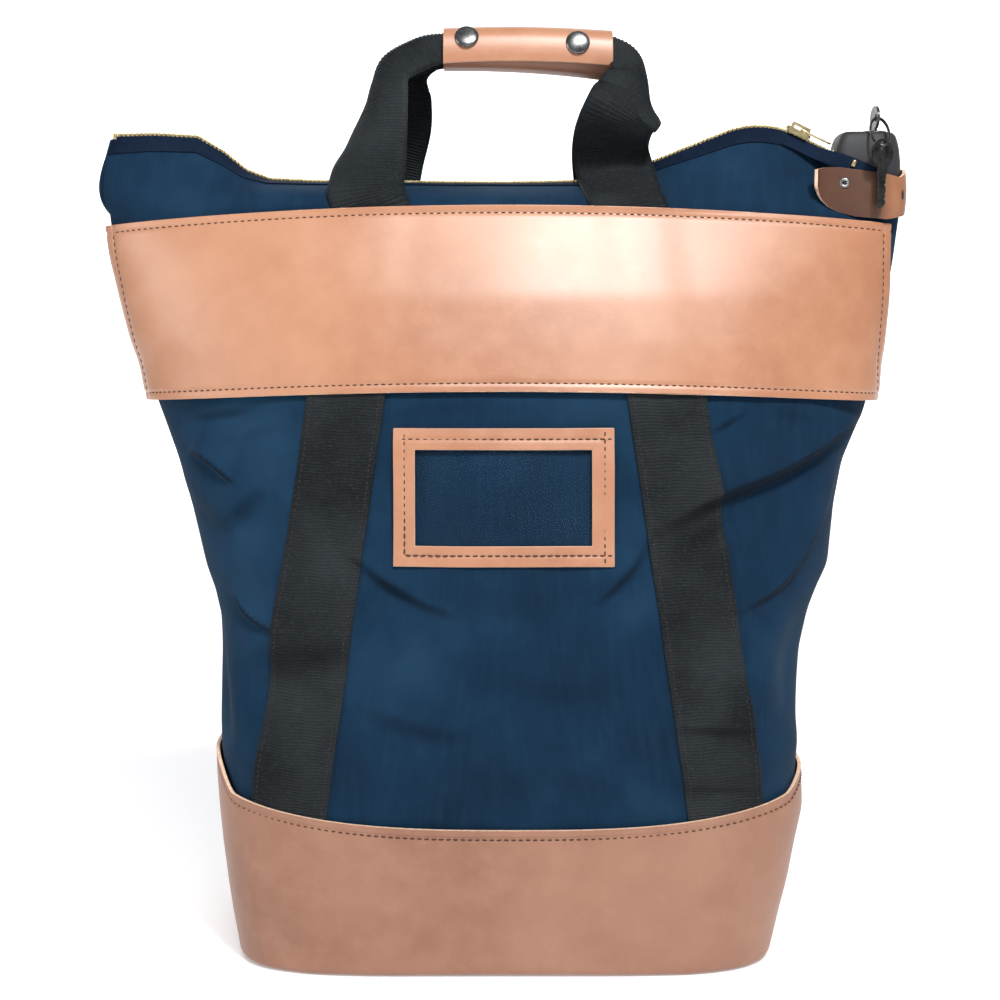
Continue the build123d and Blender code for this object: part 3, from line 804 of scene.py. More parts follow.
def band(side):
    rows = edge_spaced(0.0, BAND_H, FINE, 3.0) / BAND_H
    columns = edge_spaced(0.0, BAND_L, FINE, 4.0) / BAND_L
    s, t = np.meshgrid(columns, rows)
    z_left = 374.0 + 112.0 * t
    middle, width = section(z_left)[:2]
    left = (middle - width) * 0.998
    right = 246.0 + 7.6 * (1 - (1 - t) ** 2.2)
    x = left + (right - left) * s
    z = band_low(x) + (band_top(x) - band_low(x)) * t
    d_top, d_side = (1 - t) * BAND_H, np.minimum(s, 1 - s) * BAND_L
    dents = groove(d_top) + groove(t * BAND_H) + groove(d_side)
    strap_bulge = np.zeros_like(x)
    for word in ("left", "right"):
        strap_bulge += 0.9 * smoothstep(1.25 - np.abs(x - strap_middle(z, word)) / 26.0)
    wave = 0.5 * swell(x * 0.8, z * 1.3, 4.0)
    flare = 3.2 * smoothstep((0.25 - t) / 0.25) * smoothstep((np.abs(s - 0.5) - 0.38) / 0.12)
    proud = UNDER_BAND + LEATHER - 1.2 + dents + strap_bulge + wave + flare
    points = on_wall(x, z, proud, side, 1.0)
    uv = np.stack([s * BAND_L, t * BAND_H], axis=-1) * MM
    name = "band_front" if side < 0 else "band_back"
    obj = grid_object(name, points, [SADDLE, EDGE], uv, flip=side < 0)
    outward_check(obj, side)
    solidify(obj, LEATHER, -1.0, 1)
    bevel(obj, 0.45)
    place(obj, "bag", ("front_band" if side < 0 else "back_band",))
    lines = {
        "top": (s[-1] * 0 + 1 - STITCH_IN / BAND_H, np.linspace(0.012, 0.988, len(columns))),
        "low": (s[-1] * 0 + STITCH_IN / BAND_H, np.linspace(0.012, 0.988, len(columns))),
        "left": (np.linspace(0.05, 0.95, len(rows)), rows * 0 + STITCH_IN / BAND_L),
        "right": (np.linspace(0.05, 0.95, len(rows)), rows * 0 + 1 - STITCH_IN / BAND_L),
    }
    for word, (tt, ss) in lines.items():
        pts, nor = [], []
        for sv, tv in zip(ss, tt):
            c = min(max(int(np.searchsorted(columns, sv)), 1), len(columns) - 2)
            r = min(max(int(np.searchsorted(rows, tv)), 1), len(rows) - 2)
            fc = (sv - columns[c - 1]) / (columns[c] - columns[c - 1])
            fr = (tv - rows[r - 1]) / (rows[r] - rows[r - 1])
            p = points[r - 1:r + 1, c - 1:c + 1]
            low = p[0, 0] * (1 - fc) + p[0, 1] * fc
            high = p[1, 0] * (1 - fc) + p[1, 1] * fc
            pts.append(low * (1 - fr) + high * fr)
            du, dv = p[0, 1] - p[0, 0], p[1, 0] - p[0, 0]
            n = unit(np.cross(du, dv))
            nor.append(n if n[1] * side > 0 else -n)
        stitch_row(f"{name}_stitch_{word}", np.array(pts), np.array(nor), [THREAD], "bag")


band(-1)
band(1)

# ---------------------------------------------------------------- leather boot and sole


def boot_top(u):
    """Height of the boot's top edge: lowest in front, with a peak at each side seam."""
    a = np.abs(u)
    return 100 + 19 * a ** 3 + np.where(u < 0, 20.0, 8.0) * smoothstep((a - 0.93) / 0.07)


def boot(side):
    theta = np.linspace(math.pi, 0, 241)
    rows = edge_spaced(0.0, 110.0, FINE, 3.0) / 110.0
    th, t = np.meshgrid(theta, rows)
    u = np.cos(th)
    top = boot_top(np.sign(u) * np.abs(u) ** 0.45)
    z = 6.0 + (top - 6.0) * t
    dents = groove((1 - t) * (top - 6.0)) + 0.35 * swell(200 * u, z * 1.5, 7.0)
    points = wall(th, z, UNDER_BAND + LEATHER - 1.0 + dents, side, 1.0)
    under = []
    for a in np.linspace(math.pi / 2, 0, 7)[1:]:
        ring = points[0].copy()
        inward = unit(np.stack([ring[:, 0] - 2, ring[:, 1], 0 * ring[:, 0]], axis=-1))
        ring = ring - inward * 6.0 * (1 - math.sin(a))
        ring[:, 2] = 6.0 - 5.7 * math.cos(a)
        under.insert(0, ring)
    points = np.concatenate([np.stack(under), points])
    across = run_along(points[20])
    up = run_along(points[:, 120])
    uv = uv_grid(across, up)
    name = "boot_front" if side < 0 else "boot_back"
    obj = grid_object(name, points, [WRAP, EDGE], uv)
    outward_check(obj, side)
    solidify(obj, LEATHER, -1.0, 1)
    bevel(obj, 0.4)
    place(obj, "bag", ("base_wrap_front" if side < 0 else "base_wrap_back",))
    line = theta[4:-4]
    lu = np.cos(line)
    line_z = boot_top(np.sign(lu) * np.abs(lu) ** 0.45) - 6.0
    pts = wall(line, line_z, UNDER_BAND + LEATHER - 1.2, side, 1.0)
    out = wall(line, line_z, UNDER_BAND + LEATHER - 0.2, side, 1.0)
    stitch_row(f"{name}_stitch", pts, unit(out - pts), [THREAD], "bag")
    return points[0]


front_ring = boot(-1)
back_ring = boot(1)


def floor_sheet(name, points, mats, uv, looks_up):
    """Rings from the outside in, filled at the last one. Its faces look up for 1 and down for -1."""
    obj = grid_object(name, points, mats, uv, closed=True)
    last, cols = (len(points) - 1) * points.shape[1], points.shape[1]

    def fill(bm):
        bm.faces.new([bm.verts[last + i] for i in range(cols)])
        bmesh.ops.recalc_face_normals(bm, faces=bm.faces)
        if sum(f.normal.z * f.calc_area() for f in bm.faces) * looks_up < 0:
            bmesh.ops.reverse_faces(bm, faces=bm.faces)

    edit(obj, fill)
    return obj


def sole():
    """The flat leather sole, a little domed in at its edge."""
    outline = np.vstack([front_ring, back_ring[::-1][1:-1]])
    points = np.stack([outline * np.array([k, k, 0]) + np.array([2 * (1 - k), 0, height])
                       for k, height in ((1.0, 0.35), (0.97, 0.1), (0.9, 0.0), (0.6, 0.0), (0.3, 0.0))])
    obj = floor_sheet("sole", points, [WRAP, EDGE], None, -1)
    solidify(obj, 2.2, -1.0, 1)
    place(obj, "bag", ("base_sole",))


sole()


def base_layer(name, z_top, thick, inset, bow, mat, node):
    """A layer of the floor inside the bag: flat, with its edge and middle a little uneven."""
    middle, width, depth, power = (float(v) for v in section(np.array(8.0)))
    around = np.linspace(0, 2 * math.pi, 160, endpoint=False)
    c, d = np.cos(around), np.sin(around)
    x = middle + (width - inset) * np.sign(c) * np.abs(c) ** (2 / power)
    y = (depth - inset) * np.sign(d) * np.abs(d) ** (2 / power)
    rings = []
    for k in (1.0, 0.985, 0.9, 0.75, 0.6, 0.45, 0.3, 0.15):
        px, py = middle + (x - middle) * k, y * k
        rings.append(np.stack([px, py, z_top + bow * (swell(px, py, 3.0) - 1.0) * (1 - k ** 8)], axis=-1))
    points = np.stack(rings)
    obj = floor_sheet(name, points, [mat], points[:, :, :2] * MM, 1)
    solidify(obj, thick, -1.0, 0)
    bevel(obj, 0.3)
    place(obj, "bag", (node,))


base_layer("base_canvas", 4.0, 1.2, 3.2, 0.05, CANVAS, "base_panel")
base_layer("base_stiffener", 7.2, 2.8, 4.4, 0.15, BOARD, "base_board")

# ---------------------------------------------------------------- card frame and window

# Left and right, then low and high edges of the frame and of its window
ID_X = (-72.0, 67.0)
ID_Z = (270.0, 357.0)
WIN_X = (-58.5, 53.0)
WIN_Z = (283.0, 343.5)


def id_frame():
    near = np.array([0.5, 1.2, 2.5, 4, 5, 6, 7, 8, 10])

    def lines(outer, window, count):
        return np.unique(np.r_[outer[0], outer[0] + near, window[0] - 0.6, window[0],
                               np.linspace(window[0] + 3, window[1] - 3, count), window[1], window[1] + 0.6,
                               outer[1] - near, outer[1]])

    xs, zs = lines(ID_X, WIN_X, 36), lines(ID_Z, WIN_Z, 20)
    x, z = np.meshgrid(xs, zs)
    edge = np.minimum(np.minimum(x - ID_X[0], ID_X[1] - x), np.minimum(z - ID_Z[0], ID_Z[1] - z))
    dents = -0.4 * np.exp(-((edge - 7.0) / 0.8) ** 2) + 0.35 * swell(x * 2, z * 2, 3.0)
    points = on_wall(x, z, 3.6 + dents, -1, 0.55)
    uv = np.stack([x, z], axis=-1) * MM

    def keep(r, c):
        inside_x = xs[c] >= WIN_X[0] and xs[c + 1] <= WIN_X[1]
        inside_z = zs[r] >= WIN_Z[0] and zs[r + 1] <= WIN_Z[1]
        return not (inside_x and inside_z)

    obj = grid_object("card_frame", points, [SADDLE, EDGE], uv, keep=keep)
    drop_loose(obj)
    outward_check(obj, -1)
    solidify(obj, 2.2, -1.0, 1)
    bevel(obj, 0.4)
    place(obj, "bag", ("id_frame",))
    inset = 7.0
    for word, (x0, x1, z0, z1) in {
        "top": (ID_X[0] + 4, ID_X[1] - 0.6, ID_Z[1] - inset, ID_Z[1] - inset),
        "low": (ID_X[0] + inset, ID_X[1] - 0.6, ID_Z[0] + inset, ID_Z[0] + inset),
        "left": (ID_X[0] + inset, ID_X[0] + inset, ID_Z[0] + inset, ID_Z[1] - 2.5),
        "right": (ID_X[1] - inset + 1, ID_X[1] - inset + 1, ID_Z[0] + 1.5, ID_Z[1] - 1.5),
    }.items():
        pts, nor = wall_line(np.linspace(x0, x1, 60), np.linspace(z0, z1, 60), 3.5, -1, 0.55)
        stitch_row(f"card_frame_stitch_{word}", pts, nor, [THREAD], "bag")
    xs = np.linspace(WIN_X[0] - 6, WIN_X[1] + 6, 50)
    zs = np.linspace(WIN_Z[0] - 5, WIN_Z[1] + 5, 30)
    x, z = np.meshgrid(xs, zs)
    pane = grid_object("card_window", on_wall(x, z, 1.15, -1, 0.55), [VINYL], uv_grid(xs, zs))
    outward_check(pane, -1)
    solidify(pane, 0.35, -1.0, 0)
    place(pane, "bag", ("id_window",))


id_frame()

# ---------------------------------------------------------------- zip

TAPE_WIDTH = 9.0


def zip_tape(side):
    xs = np.linspace(-266.5, 218, 320)
    downs = np.r_[0.0, 0.3, 1.0, 2.5, 4.2, 6, 7.5, 8.5, TAPE_WIDTH]
    foot = on_wall(xs, np.full_like(xs, WALL_TOP), 0.0, side)
    rows = []
    end = np.stack([xs, side * np.full_like(xs, 1.2), ridge(xs)], axis=-1)
    run = np.linalg.norm(end - foot, axis=-1)
    for d in downs:
        k = 1 - np.clip(d / np.maximum(run, 20.0), 0, 1) * 0.9
        inner = np.stack([mouth_point(np.array([px]), f[None], kk, side)[0] for px, f, kk in zip(xs, foot, k)])
        lift = 0.9 if d > 1 else 0.5
        normal = unit(np.stack([0 * xs, side * (ridge(xs) - WALL_TOP), np.abs(foot[:, 1]) + 0.1], axis=-1))
        rows.append(inner + normal * lift)
    points = np.stack(rows)
    u = run_along(points[2])
    uv = uv_grid(u, downs)
    name = "tape_front" if side < 0 else "tape_back"
    obj = grid_object(name, points, [TAPE], uv)
    outward_check(obj, side)
    solidify(obj, 0.7, -1.0, 0)
    place(obj, "bag", ("zip_tape_front" if side < 0 else "zip_tape_back",))


zip_tape(-1)
zip_tape(1)


def box_verts(size, round_by=0.25):
    """Vertices and faces of a small chamfered block, centred on the origin."""
    bm = bmesh.new()
    bmesh.ops.create_cube(bm, size=1.0)
    for v in bm.verts:
        v.co = Vector((v.co.x * size[0], v.co.y * size[1], v.co.z * size[2]))
    bmesh.ops.bevel(bm, geom=list(bm.edges), offset=round_by, segments=2, affect="EDGES", profile=0.5)
    bm.verts.index_update()
    verts = np.array([v.co[:] for v in bm.verts])
    faces = [[v.index for v in f.verts] for f in bm.faces]
    bm.free()
    return verts, faces


def teeth(side):
    """One side's row of brass teeth, each a rounded block that points to the other row."""
    pitch = 3.0
    xs_fine = np.linspace(-261, 217, 4000)
    zs_fine = ridge(xs_fine)
    run = np.r_[0, np.cumsum(np.hypot(np.diff(xs_fine), np.diff(zs_fine)))]
    count = int(run[-1] / pitch)
    block, block_faces = box_verts((1.75, 3.2, 2.3), 0.4)
    verts, faces = [], []
    for i in range(count):
        at = (i + (0.25 if side < 0 else 0.75)) * pitch
        x = np.interp(at, run, xs_fine)
        z = float(ridge(x))
        slope = math.atan2(float(ridge(x + 0.5)) - float(ridge(x - 0.5)), 1.0)
        cos, sin = math.cos(slope), math.sin(slope)
        base = len(verts)
        for v in block:
            bx, by, bz = v[0], v[1], v[2]
            verts.append((x + bx * cos - bz * sin, by + side * 1.1, z + 1.0 + bx * sin + bz * cos))
        faces += [[base + k for k in f] for f in block_faces]
    name = "teeth_front" if side < 0 else "teeth_back"
    obj = add_mesh(name, verts, faces, [BRASS])
    place(obj, "bag", ("zip_teeth_front" if side < 0 else "zip_teeth_back",))


teeth(-1)
teeth(1)

# ---------------------------------------------------------------- handle loops of folded webbing

WEB_THICK = 2.1


def fold_section(half, fold, sharp, count=15):
    """Webbing folded along its middle by an angle: across and outward positions of points along its width."""
    u = np.linspace(-1, 1, 81)
    turn = -fold / 2 * np.tanh(u / sharp) / np.tanh(1 / sharp)
    step = half * 2 / 80
    a = np.r_[0, np.cumsum((np.cos(turn[1:]) + np.cos(turn[:-1])) / 2) * step]
    b = np.r_[0, np.cumsum((np.sin(turn[1:]) + np.sin(turn[:-1])) / 2) * step]
    spots = np.linspace(-1, 1, count)
    return (np.interp(spots, u, a - a.mean()), np.interp(spots, u, b - b.mean()),
            np.interp(spots, u, turn))


def loop_ribbon(name, rows, nodes, mirrored, seed):
    """A webbing loop from rows of: middle x, y, z, across direction x, y, z, fold in degrees, sharpness of
    the fold and share of the full width."""
    path = smooth_path(rows, 900)
    run = run_along(path[:, :3])
    tangent = unit(np.gradient(path[:, :3], axis=0))
    wave = np.sin(run * 0.11 + seed) + 0.6 * np.sin(run * 0.23 + 2 * seed)
    front, back = [], []
    for i, row in enumerate(path):
        t = tangent[i]
        across = unit(row[3:6] - t * (row[3:6] @ t))
        out = np.cross(across, t)
        a, b, turn = fold_section(STRAP_W / 2 * row[8], math.radians(row[6] + 5 * wave[i]), row[7])
        middle = row[:3] + np.outer(a, across) + np.outer(b, out)
        normal = np.outer(-np.sin(turn), across) + np.outer(np.cos(turn), out)
        rib = 0.30 * math.cos(2 * math.pi * run[i] / RIB)
        thick = np.full(len(a), WEB_THICK / 2 + rib)
        thick[[0, -1]] = WEB_THICK / 4
        front.append(middle + normal * thick[:, None])
        back.append(middle - normal * thick[:, None])
    ring = np.concatenate([np.stack(front), np.stack(back)[:, ::-1]], axis=1)
    if mirrored:
        ring[..., 1] *= -1
    rows_n, cols = ring.shape[:2]
    faces = grid_faces(rows_n, cols, closed=True, flip=mirrored)
    faces += end_caps(rows_n, cols, flip=True)
    there_and_back = np.r_[np.arange(cols // 2), np.arange(cols // 2)[::-1]] * 3.6
    uv = uv_grid(there_and_back, run).reshape(-1, 2)
    obj = add_mesh(name, ring.reshape(-1, 3), faces, [WEBBING], uv)
    outward(obj)
    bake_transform(obj)
    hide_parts(*nodes)


FRONT_LOOP = [
    (-86, -51.3, 484, 1, -0.1, 0, 8, 1.2, 1.0), (-88, -47.2, 494, 1, -0.1, 0, 8, 1.2, 1.0),
    (-90.5, -46.8, 501, 1, -0.1, 0, 12, 1.2, 1.0), (-92, -46.0, 510, 1, -0.12, 0, 20, 1.0, 1.0),
    (-91, -41.5, 522, 0.97, -0.25, 0, 35, 0.9, 1.0), (-88, -33, 543, 0.84, -0.55, 0, 50, 0.8, 1.0),
    (-84.5, -25, 566, 0.62, -0.78, -0.05, 62, 0.6, 1.0), (-82.5, -19, 579.5, 0.42, -0.88, -0.15, 80, 0.42, 1.0),
    (-76.5, -14, 589.5, 0.1, -1, -0.15, 122, 0.26, 1.0), (-62, -9.5, 597.5, 0, -1, 0, 154, 0.18, 0.96),
    (-46, -7.2, 602.8, 0, -1, 0, 165, 0.15, 0.86), (-10, -6.3, 603.4, 0, -1, 0, 168, 0.14, 0.75),
    (30, -6.3, 603.4, 0, -1, 0, 168, 0.14, 0.75), (60, -6.4, 602.8, 0, -1, 0, 166, 0.16, 0.8),
    (70, -6.8, 601, 0.0, -1, 0, 164, 0.18, 0.84), (79, -10.5, 594, 0.1, -1, 0, 150, 0.24, 0.95),
    (85, -20, 580, -0.45, -0.85, 0.15, 92, 0.45, 1.0), (81.5, -31.5, 568.5, -0.88, -0.42, 0.1, 50, 0.7, 1.0),
    (75.5, -37.5, 560, -0.98, -0.15, 0.1, 24, 0.9, 1.0), (71, -33, 551.5, -1, 0, 0.08, 12, 1.0, 1.0),
    (69, -20, 545, -1, 0, 0.06, 8, 1.0, 1.0), (69, -10, 535, -0.98, 0, -0.12, 8, 1.0, 1.0),
    (71.5, -13.5, 523.5, -0.97, 0, -0.22, 8, 1.0, 1.0), (74, -28, 512.5, -0.99, -0.04, -0.12, 6, 1.2, 1.0),
    (77, -42, 503.5, -1, -0.08, -0.02, 6, 1.2, 1.0), (79.5, -47.2, 494.5, -1, -0.1, 0, 6, 1.2, 1.0),
    (81, -51.3, 484, -1, -0.1, 0, 6, 1.2, 1.0),
]
BACK_LOOP = [
    (-86, -51.3, 484, 1, -0.1, 0, 8, 1.2, 1.0), (-87.5, -47.2, 494, 1, -0.1, 0, 8, 1.2, 1.0),
    (-88, -46, 502, 1, -0.08, 0, 10, 1.2, 1.0), (-87, -41, 515, 1, 0, 0, 14, 1.0, 1.0),
    (-83, -33, 534, 0.98, -0.15, 0, 22, 0.9, 1.0), (-77, -24, 554, 0.95, -0.3, 0, 30, 0.8, 1.0),
    (-75, -18, 570, 0.85, -0.5, -0.1, 48, 0.6, 1.0), (-72, -13, 583, 0.5, -0.8, -0.2, 95, 0.4, 1.0),
    (-66, -9.5, 593, 0.2, -1, -0.15, 135, 0.28, 0.95), (-56, -7.5, 600, 0, -1, 0, 158, 0.2, 0.88),
    (-44, -6.2, 603, 0, -1, 0, 166, 0.16, 0.82), (-10, -6, 603.4, 0, -1, 0, 168, 0.14, 0.75),
    (30, -6, 603.4, 0, -1, 0, 168, 0.14, 0.75), (60, -6.2, 602.5, 0, -1, 0, 166, 0.16, 0.8),
    (71, -8.0, 598, 0, -1, 0, 155, 0.2, 0.88), (79, -11.5, 587, 0, -1, 0, 130, 0.3, 0.95),
    (79, -17, 573, -0.6, -0.75, 0.1, 80, 0.5, 1.0), (73, -23, 557, -0.92, -0.35, 0, 40, 0.7, 1.0),
    (70, -29, 543, -0.98, -0.15, 0, 22, 0.9, 1.0), (71, -37, 526, -1, 0, 0, 14, 1.0, 1.0),
    (75, -43, 511, -1, -0.04, 0, 10, 1.0, 1.0), (79, -46, 499, -1, -0.1, 0, 8, 1.0, 1.0),
    (81, -51.3, 484, -1, -0.1, 0, 8, 1.0, 1.0),
]
loop_ribbon("web_loop_front", FRONT_LOOP, ("web_legs_front", "handle_web_front"), False, 0.4)
loop_ribbon("web_loop_back", BACK_LOOP, ("web_legs_back", "handle_web_back"), True, 2.3)

# ---------------------------------------------------------------- grip

GRIP_X0, GRIP_X1 = -42.5, 69.5


def bent_sheet(name, profile, bend, mats, thick):
    """A leather sheet swept along x. profile lists (y, z) and bend moves a point by its share of x and of
    the profile."""
    line = smooth_path([(0, y, z) for y, z in profile], 44)
    near = np.array([0.5, 1.2, 2.5])
    xs = np.unique(np.r_[GRIP_X0, GRIP_X0 + near, np.linspace(GRIP_X0 + 5, GRIP_X1 - 5, 40), GRIP_X1 - near,
                         GRIP_X1])
    share = np.linspace(0, 1, len(line))
    points = np.empty((len(line), len(xs), 3))
    for c, x in enumerate(xs):
        s = (x - GRIP_X0) / (GRIP_X1 - GRIP_X0)
        dy, dz = bend(s, share)
        points[:, c, 0] = x
        points[:, c, 1] = line[:, 1] + dy
        points[:, c, 2] = line[:, 2] + dz
    run = run_along(line)
    uv = uv_grid(xs, run)
    obj = grid_object(name, points, mats, uv)
    solidify(obj, thick, 0.0, 1)
    bevel(obj, 0.4)
    return obj, points, xs


def flap_bend(s, share):
    bow = 1.6 * math.sin(math.pi * s) - 1.6 * s
    low = share ** 2 * (1.5 * math.sin(math.pi * s) + 0.3 * math.sin(9 * s))
    return -0.5 * math.sin(math.pi * s) * share ** 2, bow + 0.6 * low


def sleeve_bend(s, share):
    sag = -7.0 * s ** 2.2 * np.sin(np.pi * share) ** 0.6
    return -0.8 * np.sin(np.pi * share) * math.sin(3 * s), sag


flap, flap_points, flap_xs = bent_sheet(
    "grip_flap_leather",
    [(12.4, 613.2), (9.5, 615.6), (2, 616.6), (-5, 616.0), (-10.5, 613.6), (-14.2, 609.4), (-16.0, 604),
     (-16.6, 598), (-16.2, 592.4)],
    flap_bend, [SADDLE, EDGE], 2.2)
outward_check(flap, -1)
place(flap, "grip_flap", ("grip_flap",))
sleeve = bent_sheet(
    "grip_sleeve_leather",
    [(-11.6, 606.5), (-12.0, 600), (-11.8, 596), (-9, 592.4), (-3, 591.4), (4, 591.4), (9.5, 592.6),
     (11.8, 596), (12.0, 603), (11.4, 610.5)],
    sleeve_bend, [WRAP, EDGE], 2.0)[0]
place(sleeve, "handle", ("grip_sleeve",))


def lathe(name, profile, at, axis, mats, segments=40, cap=True):
    """A turned piece from (radius, height) pairs, standing at a point along an axis."""
    z = unit(np.asarray(axis, float))
    x = unit(np.cross([0.0, 0.3, 1.0] if abs(z[2]) < 0.9 else [0.0, 1.0, 0.0], z))
    y = np.cross(z, x)
    angles = np.linspace(0, 2 * math.pi, segments, endpoint=False)
    verts = [np.asarray(at) + z * h + r * (x * math.cos(a) + y * math.sin(a))
             for r, h in profile for a in angles]
    faces = grid_faces(len(profile), segments, closed=True)
    if cap:
        faces += end_caps(len(profile), segments)
    obj = add_mesh(name, verts, faces, mats)
    outward(obj)
    return obj


def on_flap(x, share):
    """A point of the flap and its outward normal."""
    c = int(np.argmin(np.abs(flap_xs - x)))
    r = int(share * (len(flap_points) - 1))
    along = flap_points[r + 1, c] - flap_points[r - 1, c]
    normal = unit(np.cross(along, [1.0, 0, 0]))
    return flap_points[r, c], normal if normal[1] < 0 else -normal


# Radius and height of the snap's three parts
CAP_PROFILE = [(7.9, -0.3), (8.0, 0.3), (7.7, 0.8), (6.9, 1.2), (5.6, 1.6), (4.0, 1.9), (2.0, 2.1), (0.3, 2.15)]
SOCKET_PROFILE = [(2.6, 0), (5.4, 0), (5.4, 1.2), (2.6, 1.2)]
STUD_PROFILE = [(4.0, 0), (4.0, 0.5), (1.7, 0.6), (1.7, 1.6), (2.1, 2.0), (1.9, 2.6), (0.4, 2.8)]
for word, x, share in (("left", -25.8, 0.67), ("right", 47.4, 0.74)):
    spot, normal = on_flap(x, share)
    cap = lathe(f"snap_cap_{word}", CAP_PROFILE, spot + normal * 1.1, normal, [GUNMETAL])
    place(cap, "grip_flap", ("snap_caps",))
    socket = lathe(f"snap_socket_{word}", SOCKET_PROFILE, spot - normal * 2.4, normal, [GUNMETAL], 28, False)
    place(socket, "grip_flap", ("snap_sockets",))
    stud = lathe(f"snap_stud_{word}", STUD_PROFILE, (x, -12.7, 603.5), (0, -1, 0), [GUNMETAL], 24)
    place(stud, "handle", ("snap_studs",))

# ---------------------------------------------------------------- zip slider, pull and stops

DOWN = np.array([math.cos(SLOPE), 0, -math.sin(SLOPE)])
SIDE = np.array([0.0, 1.0, 0.0])
UP = np.cross(DOWN, SIDE)
REST = np.array([REST_X, 0, REST_Z])


def cut_plate(name, loops, thick, locate, mats, soften):
    """A flat plate from its outline and holes. locate turns along, across and height from its middle into
    a place."""
    bm = bmesh.new()
    edges = []
    for loop in loops:
        verts = [bm.verts.new((a * MM, c * MM, 0)) for a, c in loop]
        edges += [bm.edges.new((v, verts[(i + 1) % len(verts)])) for i, v in enumerate(verts)]
    bmesh.ops.triangle_fill(bm, use_beauty=True, edges=edges)
    top = bmesh.ops.extrude_face_region(bm, geom=list(bm.faces))["geom"]
    bmesh.ops.translate(bm, vec=(0, 0, thick * MM), verts=[v for v in top if isinstance(v, bmesh.types.BMVert)])
    for v in bm.verts:
        v.co = Vector(locate(v.co.x / MM, v.co.y / MM, v.co.z / MM - thick / 2) * MM)
    bmesh.ops.recalc_face_normals(bm, faces=bm.faces)
    mesh = bpy.data.meshes.new(name)
    bm.to_mesh(mesh)
    bm.free()
    for mat in mats:
        mesh.materials.append(mat)
    obj = bpy.data.objects.new(name, mesh)
    bpy.context.scene.collection.objects.link(obj)
    bevel(obj, soften, 2, 40)
    return obj


def plate(name, outline, holes, low, high, mats, roll=0.0, soften=0.4):
    """A plate on the slope of the zip, rolled about its own middle. low and high are heights over the slope."""
    cos, sin = math.cos(roll), math.sin(roll)

    def locate(a, c, h):
        return REST + DOWN * a + SIDE * (c * cos - h * sin) + UP * ((low + high) / 2 + c * sin + h * cos)

    return cut_plate(name, [outline] + holes, high - low, locate, mats, soften)


def rounded(length, width, radius, middle=0.0, taper=1.0, per=6):
    """Corners of a rounded rectangle; taper narrows its far end."""
    out = []
    for sx, sy, start in ((1, 1, 0), (-1, 1, 90), (-1, -1, 180), (1, -1, 270)):
        for k in range(per):
            a = math.radians(start + 90 * k / (per - 1))
            x = sx * (length / 2 - radius) + radius * math.cos(a)
            y = sy * (width / 2 - radius) + radius * math.sin(a)
            out.append((middle + x, y * (taper if x > 0 else 1.0)))
    return out


# Slider parts: name, outline, low, high, softened edge, nodes
SLIDER = [
    ("slider_top", rounded(18, 10.5, 3.5, 0, 0.8), 2.6, 4.2, 0.6, ("zip_slider",)),
    ("slider_bridge", rounded(13, 3.6, 1.2, 0.5), 7.0, 8.6, 0.5, ()),
    ("slider_post_back", rounded(2.2, 3.6, 0.6, -5.2), 3.8, 7.6, 0.3, ()),
    ("slider_post_front", rounded(2.2, 3.6, 0.6, 6.2), 3.8, 7.6, 0.3, ()),
    ("slider_rail_near", [(a, y - 5.0) for a, y in rounded(14, 1.3, 0.5)], 0.2, 3.2, 0.3, ()),
    ("slider_rail_far", [(a, y + 5.0) for a, y in rounded(14, 1.3, 0.5)], 0.2, 3.2, 0.3, ()),
]
for name, outline, low, high, soften, nodes in SLIDER:
    place(plate(name, outline, [], low, high, [BRASS], 0, soften), "zip_slider", nodes)
PULL_HOLES = [rounded(5.6, 5.2, 1.6, 4.9), rounded(6.5, 3.4, 1.6, 16.2)]
pull = plate("pull_plate", rounded(22.5, 8.6, 2.6, 12.0, 0.86), PULL_HOLES, 5.0, 6.4, [BRASS], math.radians(8))
place(pull, "zip_pull", ("zip_pull",))


def end_stop(name, at, tilt, nodes=()):
    """A folded brass clip across the chain's end."""
    verts, faces = box_verts((2.6, 6.4, 4.4), 0.7)
    cos, sin = math.cos(tilt), math.sin(tilt)
    moved = [(at[0] + x * cos - z * sin, at[1] + y, at[2] + x * sin + z * cos) for x, y, z in verts]
    place(add_mesh(name, moved, faces, [BRASS]), "bag", nodes)


end_stop("end_stop_left", (-263.2, 0, 546.8), 0.0, ("zip_end_stops",))
end_stop("end_stop_right", (217.6, -3.0, 535.0), -SLOPE)


def strip(name, rows, thick, mats, body):
    """A flat strip along rows of: middle x, y, z, across x, y, z, half-width."""
    path = smooth_path(rows, 90)
    tangent = unit(np.gradient(path[:, :3], axis=0))
    rings = []
    for i, row in enumerate(path):
        across = unit(row[3:6] - tangent[i] * (row[3:6] @ tangent[i]))
        out = np.cross(across, tangent[i]) * thick / 2
        half = row[6]
        u = np.array([-1, -0.92, -0.5, 0, 0.5, 0.92, 1.0])[:, None] * half * across
        h = np.array([0.3, 1, 1, 1, 1, 1, 0.3])[:, None] * out
        rings.append(np.concatenate([row[:3] + u + h, (row[:3] + u - h)[::-1]]))
    points = np.stack(rings)
    cols = points.shape[1]
    faces = grid_faces(len(points), cols, closed=True) + end_caps(len(points), cols, flip=True)
    run = np.linspace(0, 1, len(points)) * np.linalg.norm(path[-1, :3] - path[0, :3])
    uv = uv_grid(np.arange(cols) * 2.0, run).reshape(-1, 2)
    obj = add_mesh(name, points.reshape(-1, 3), faces, mats, uv)
    outward(obj)
    return place(obj, body)


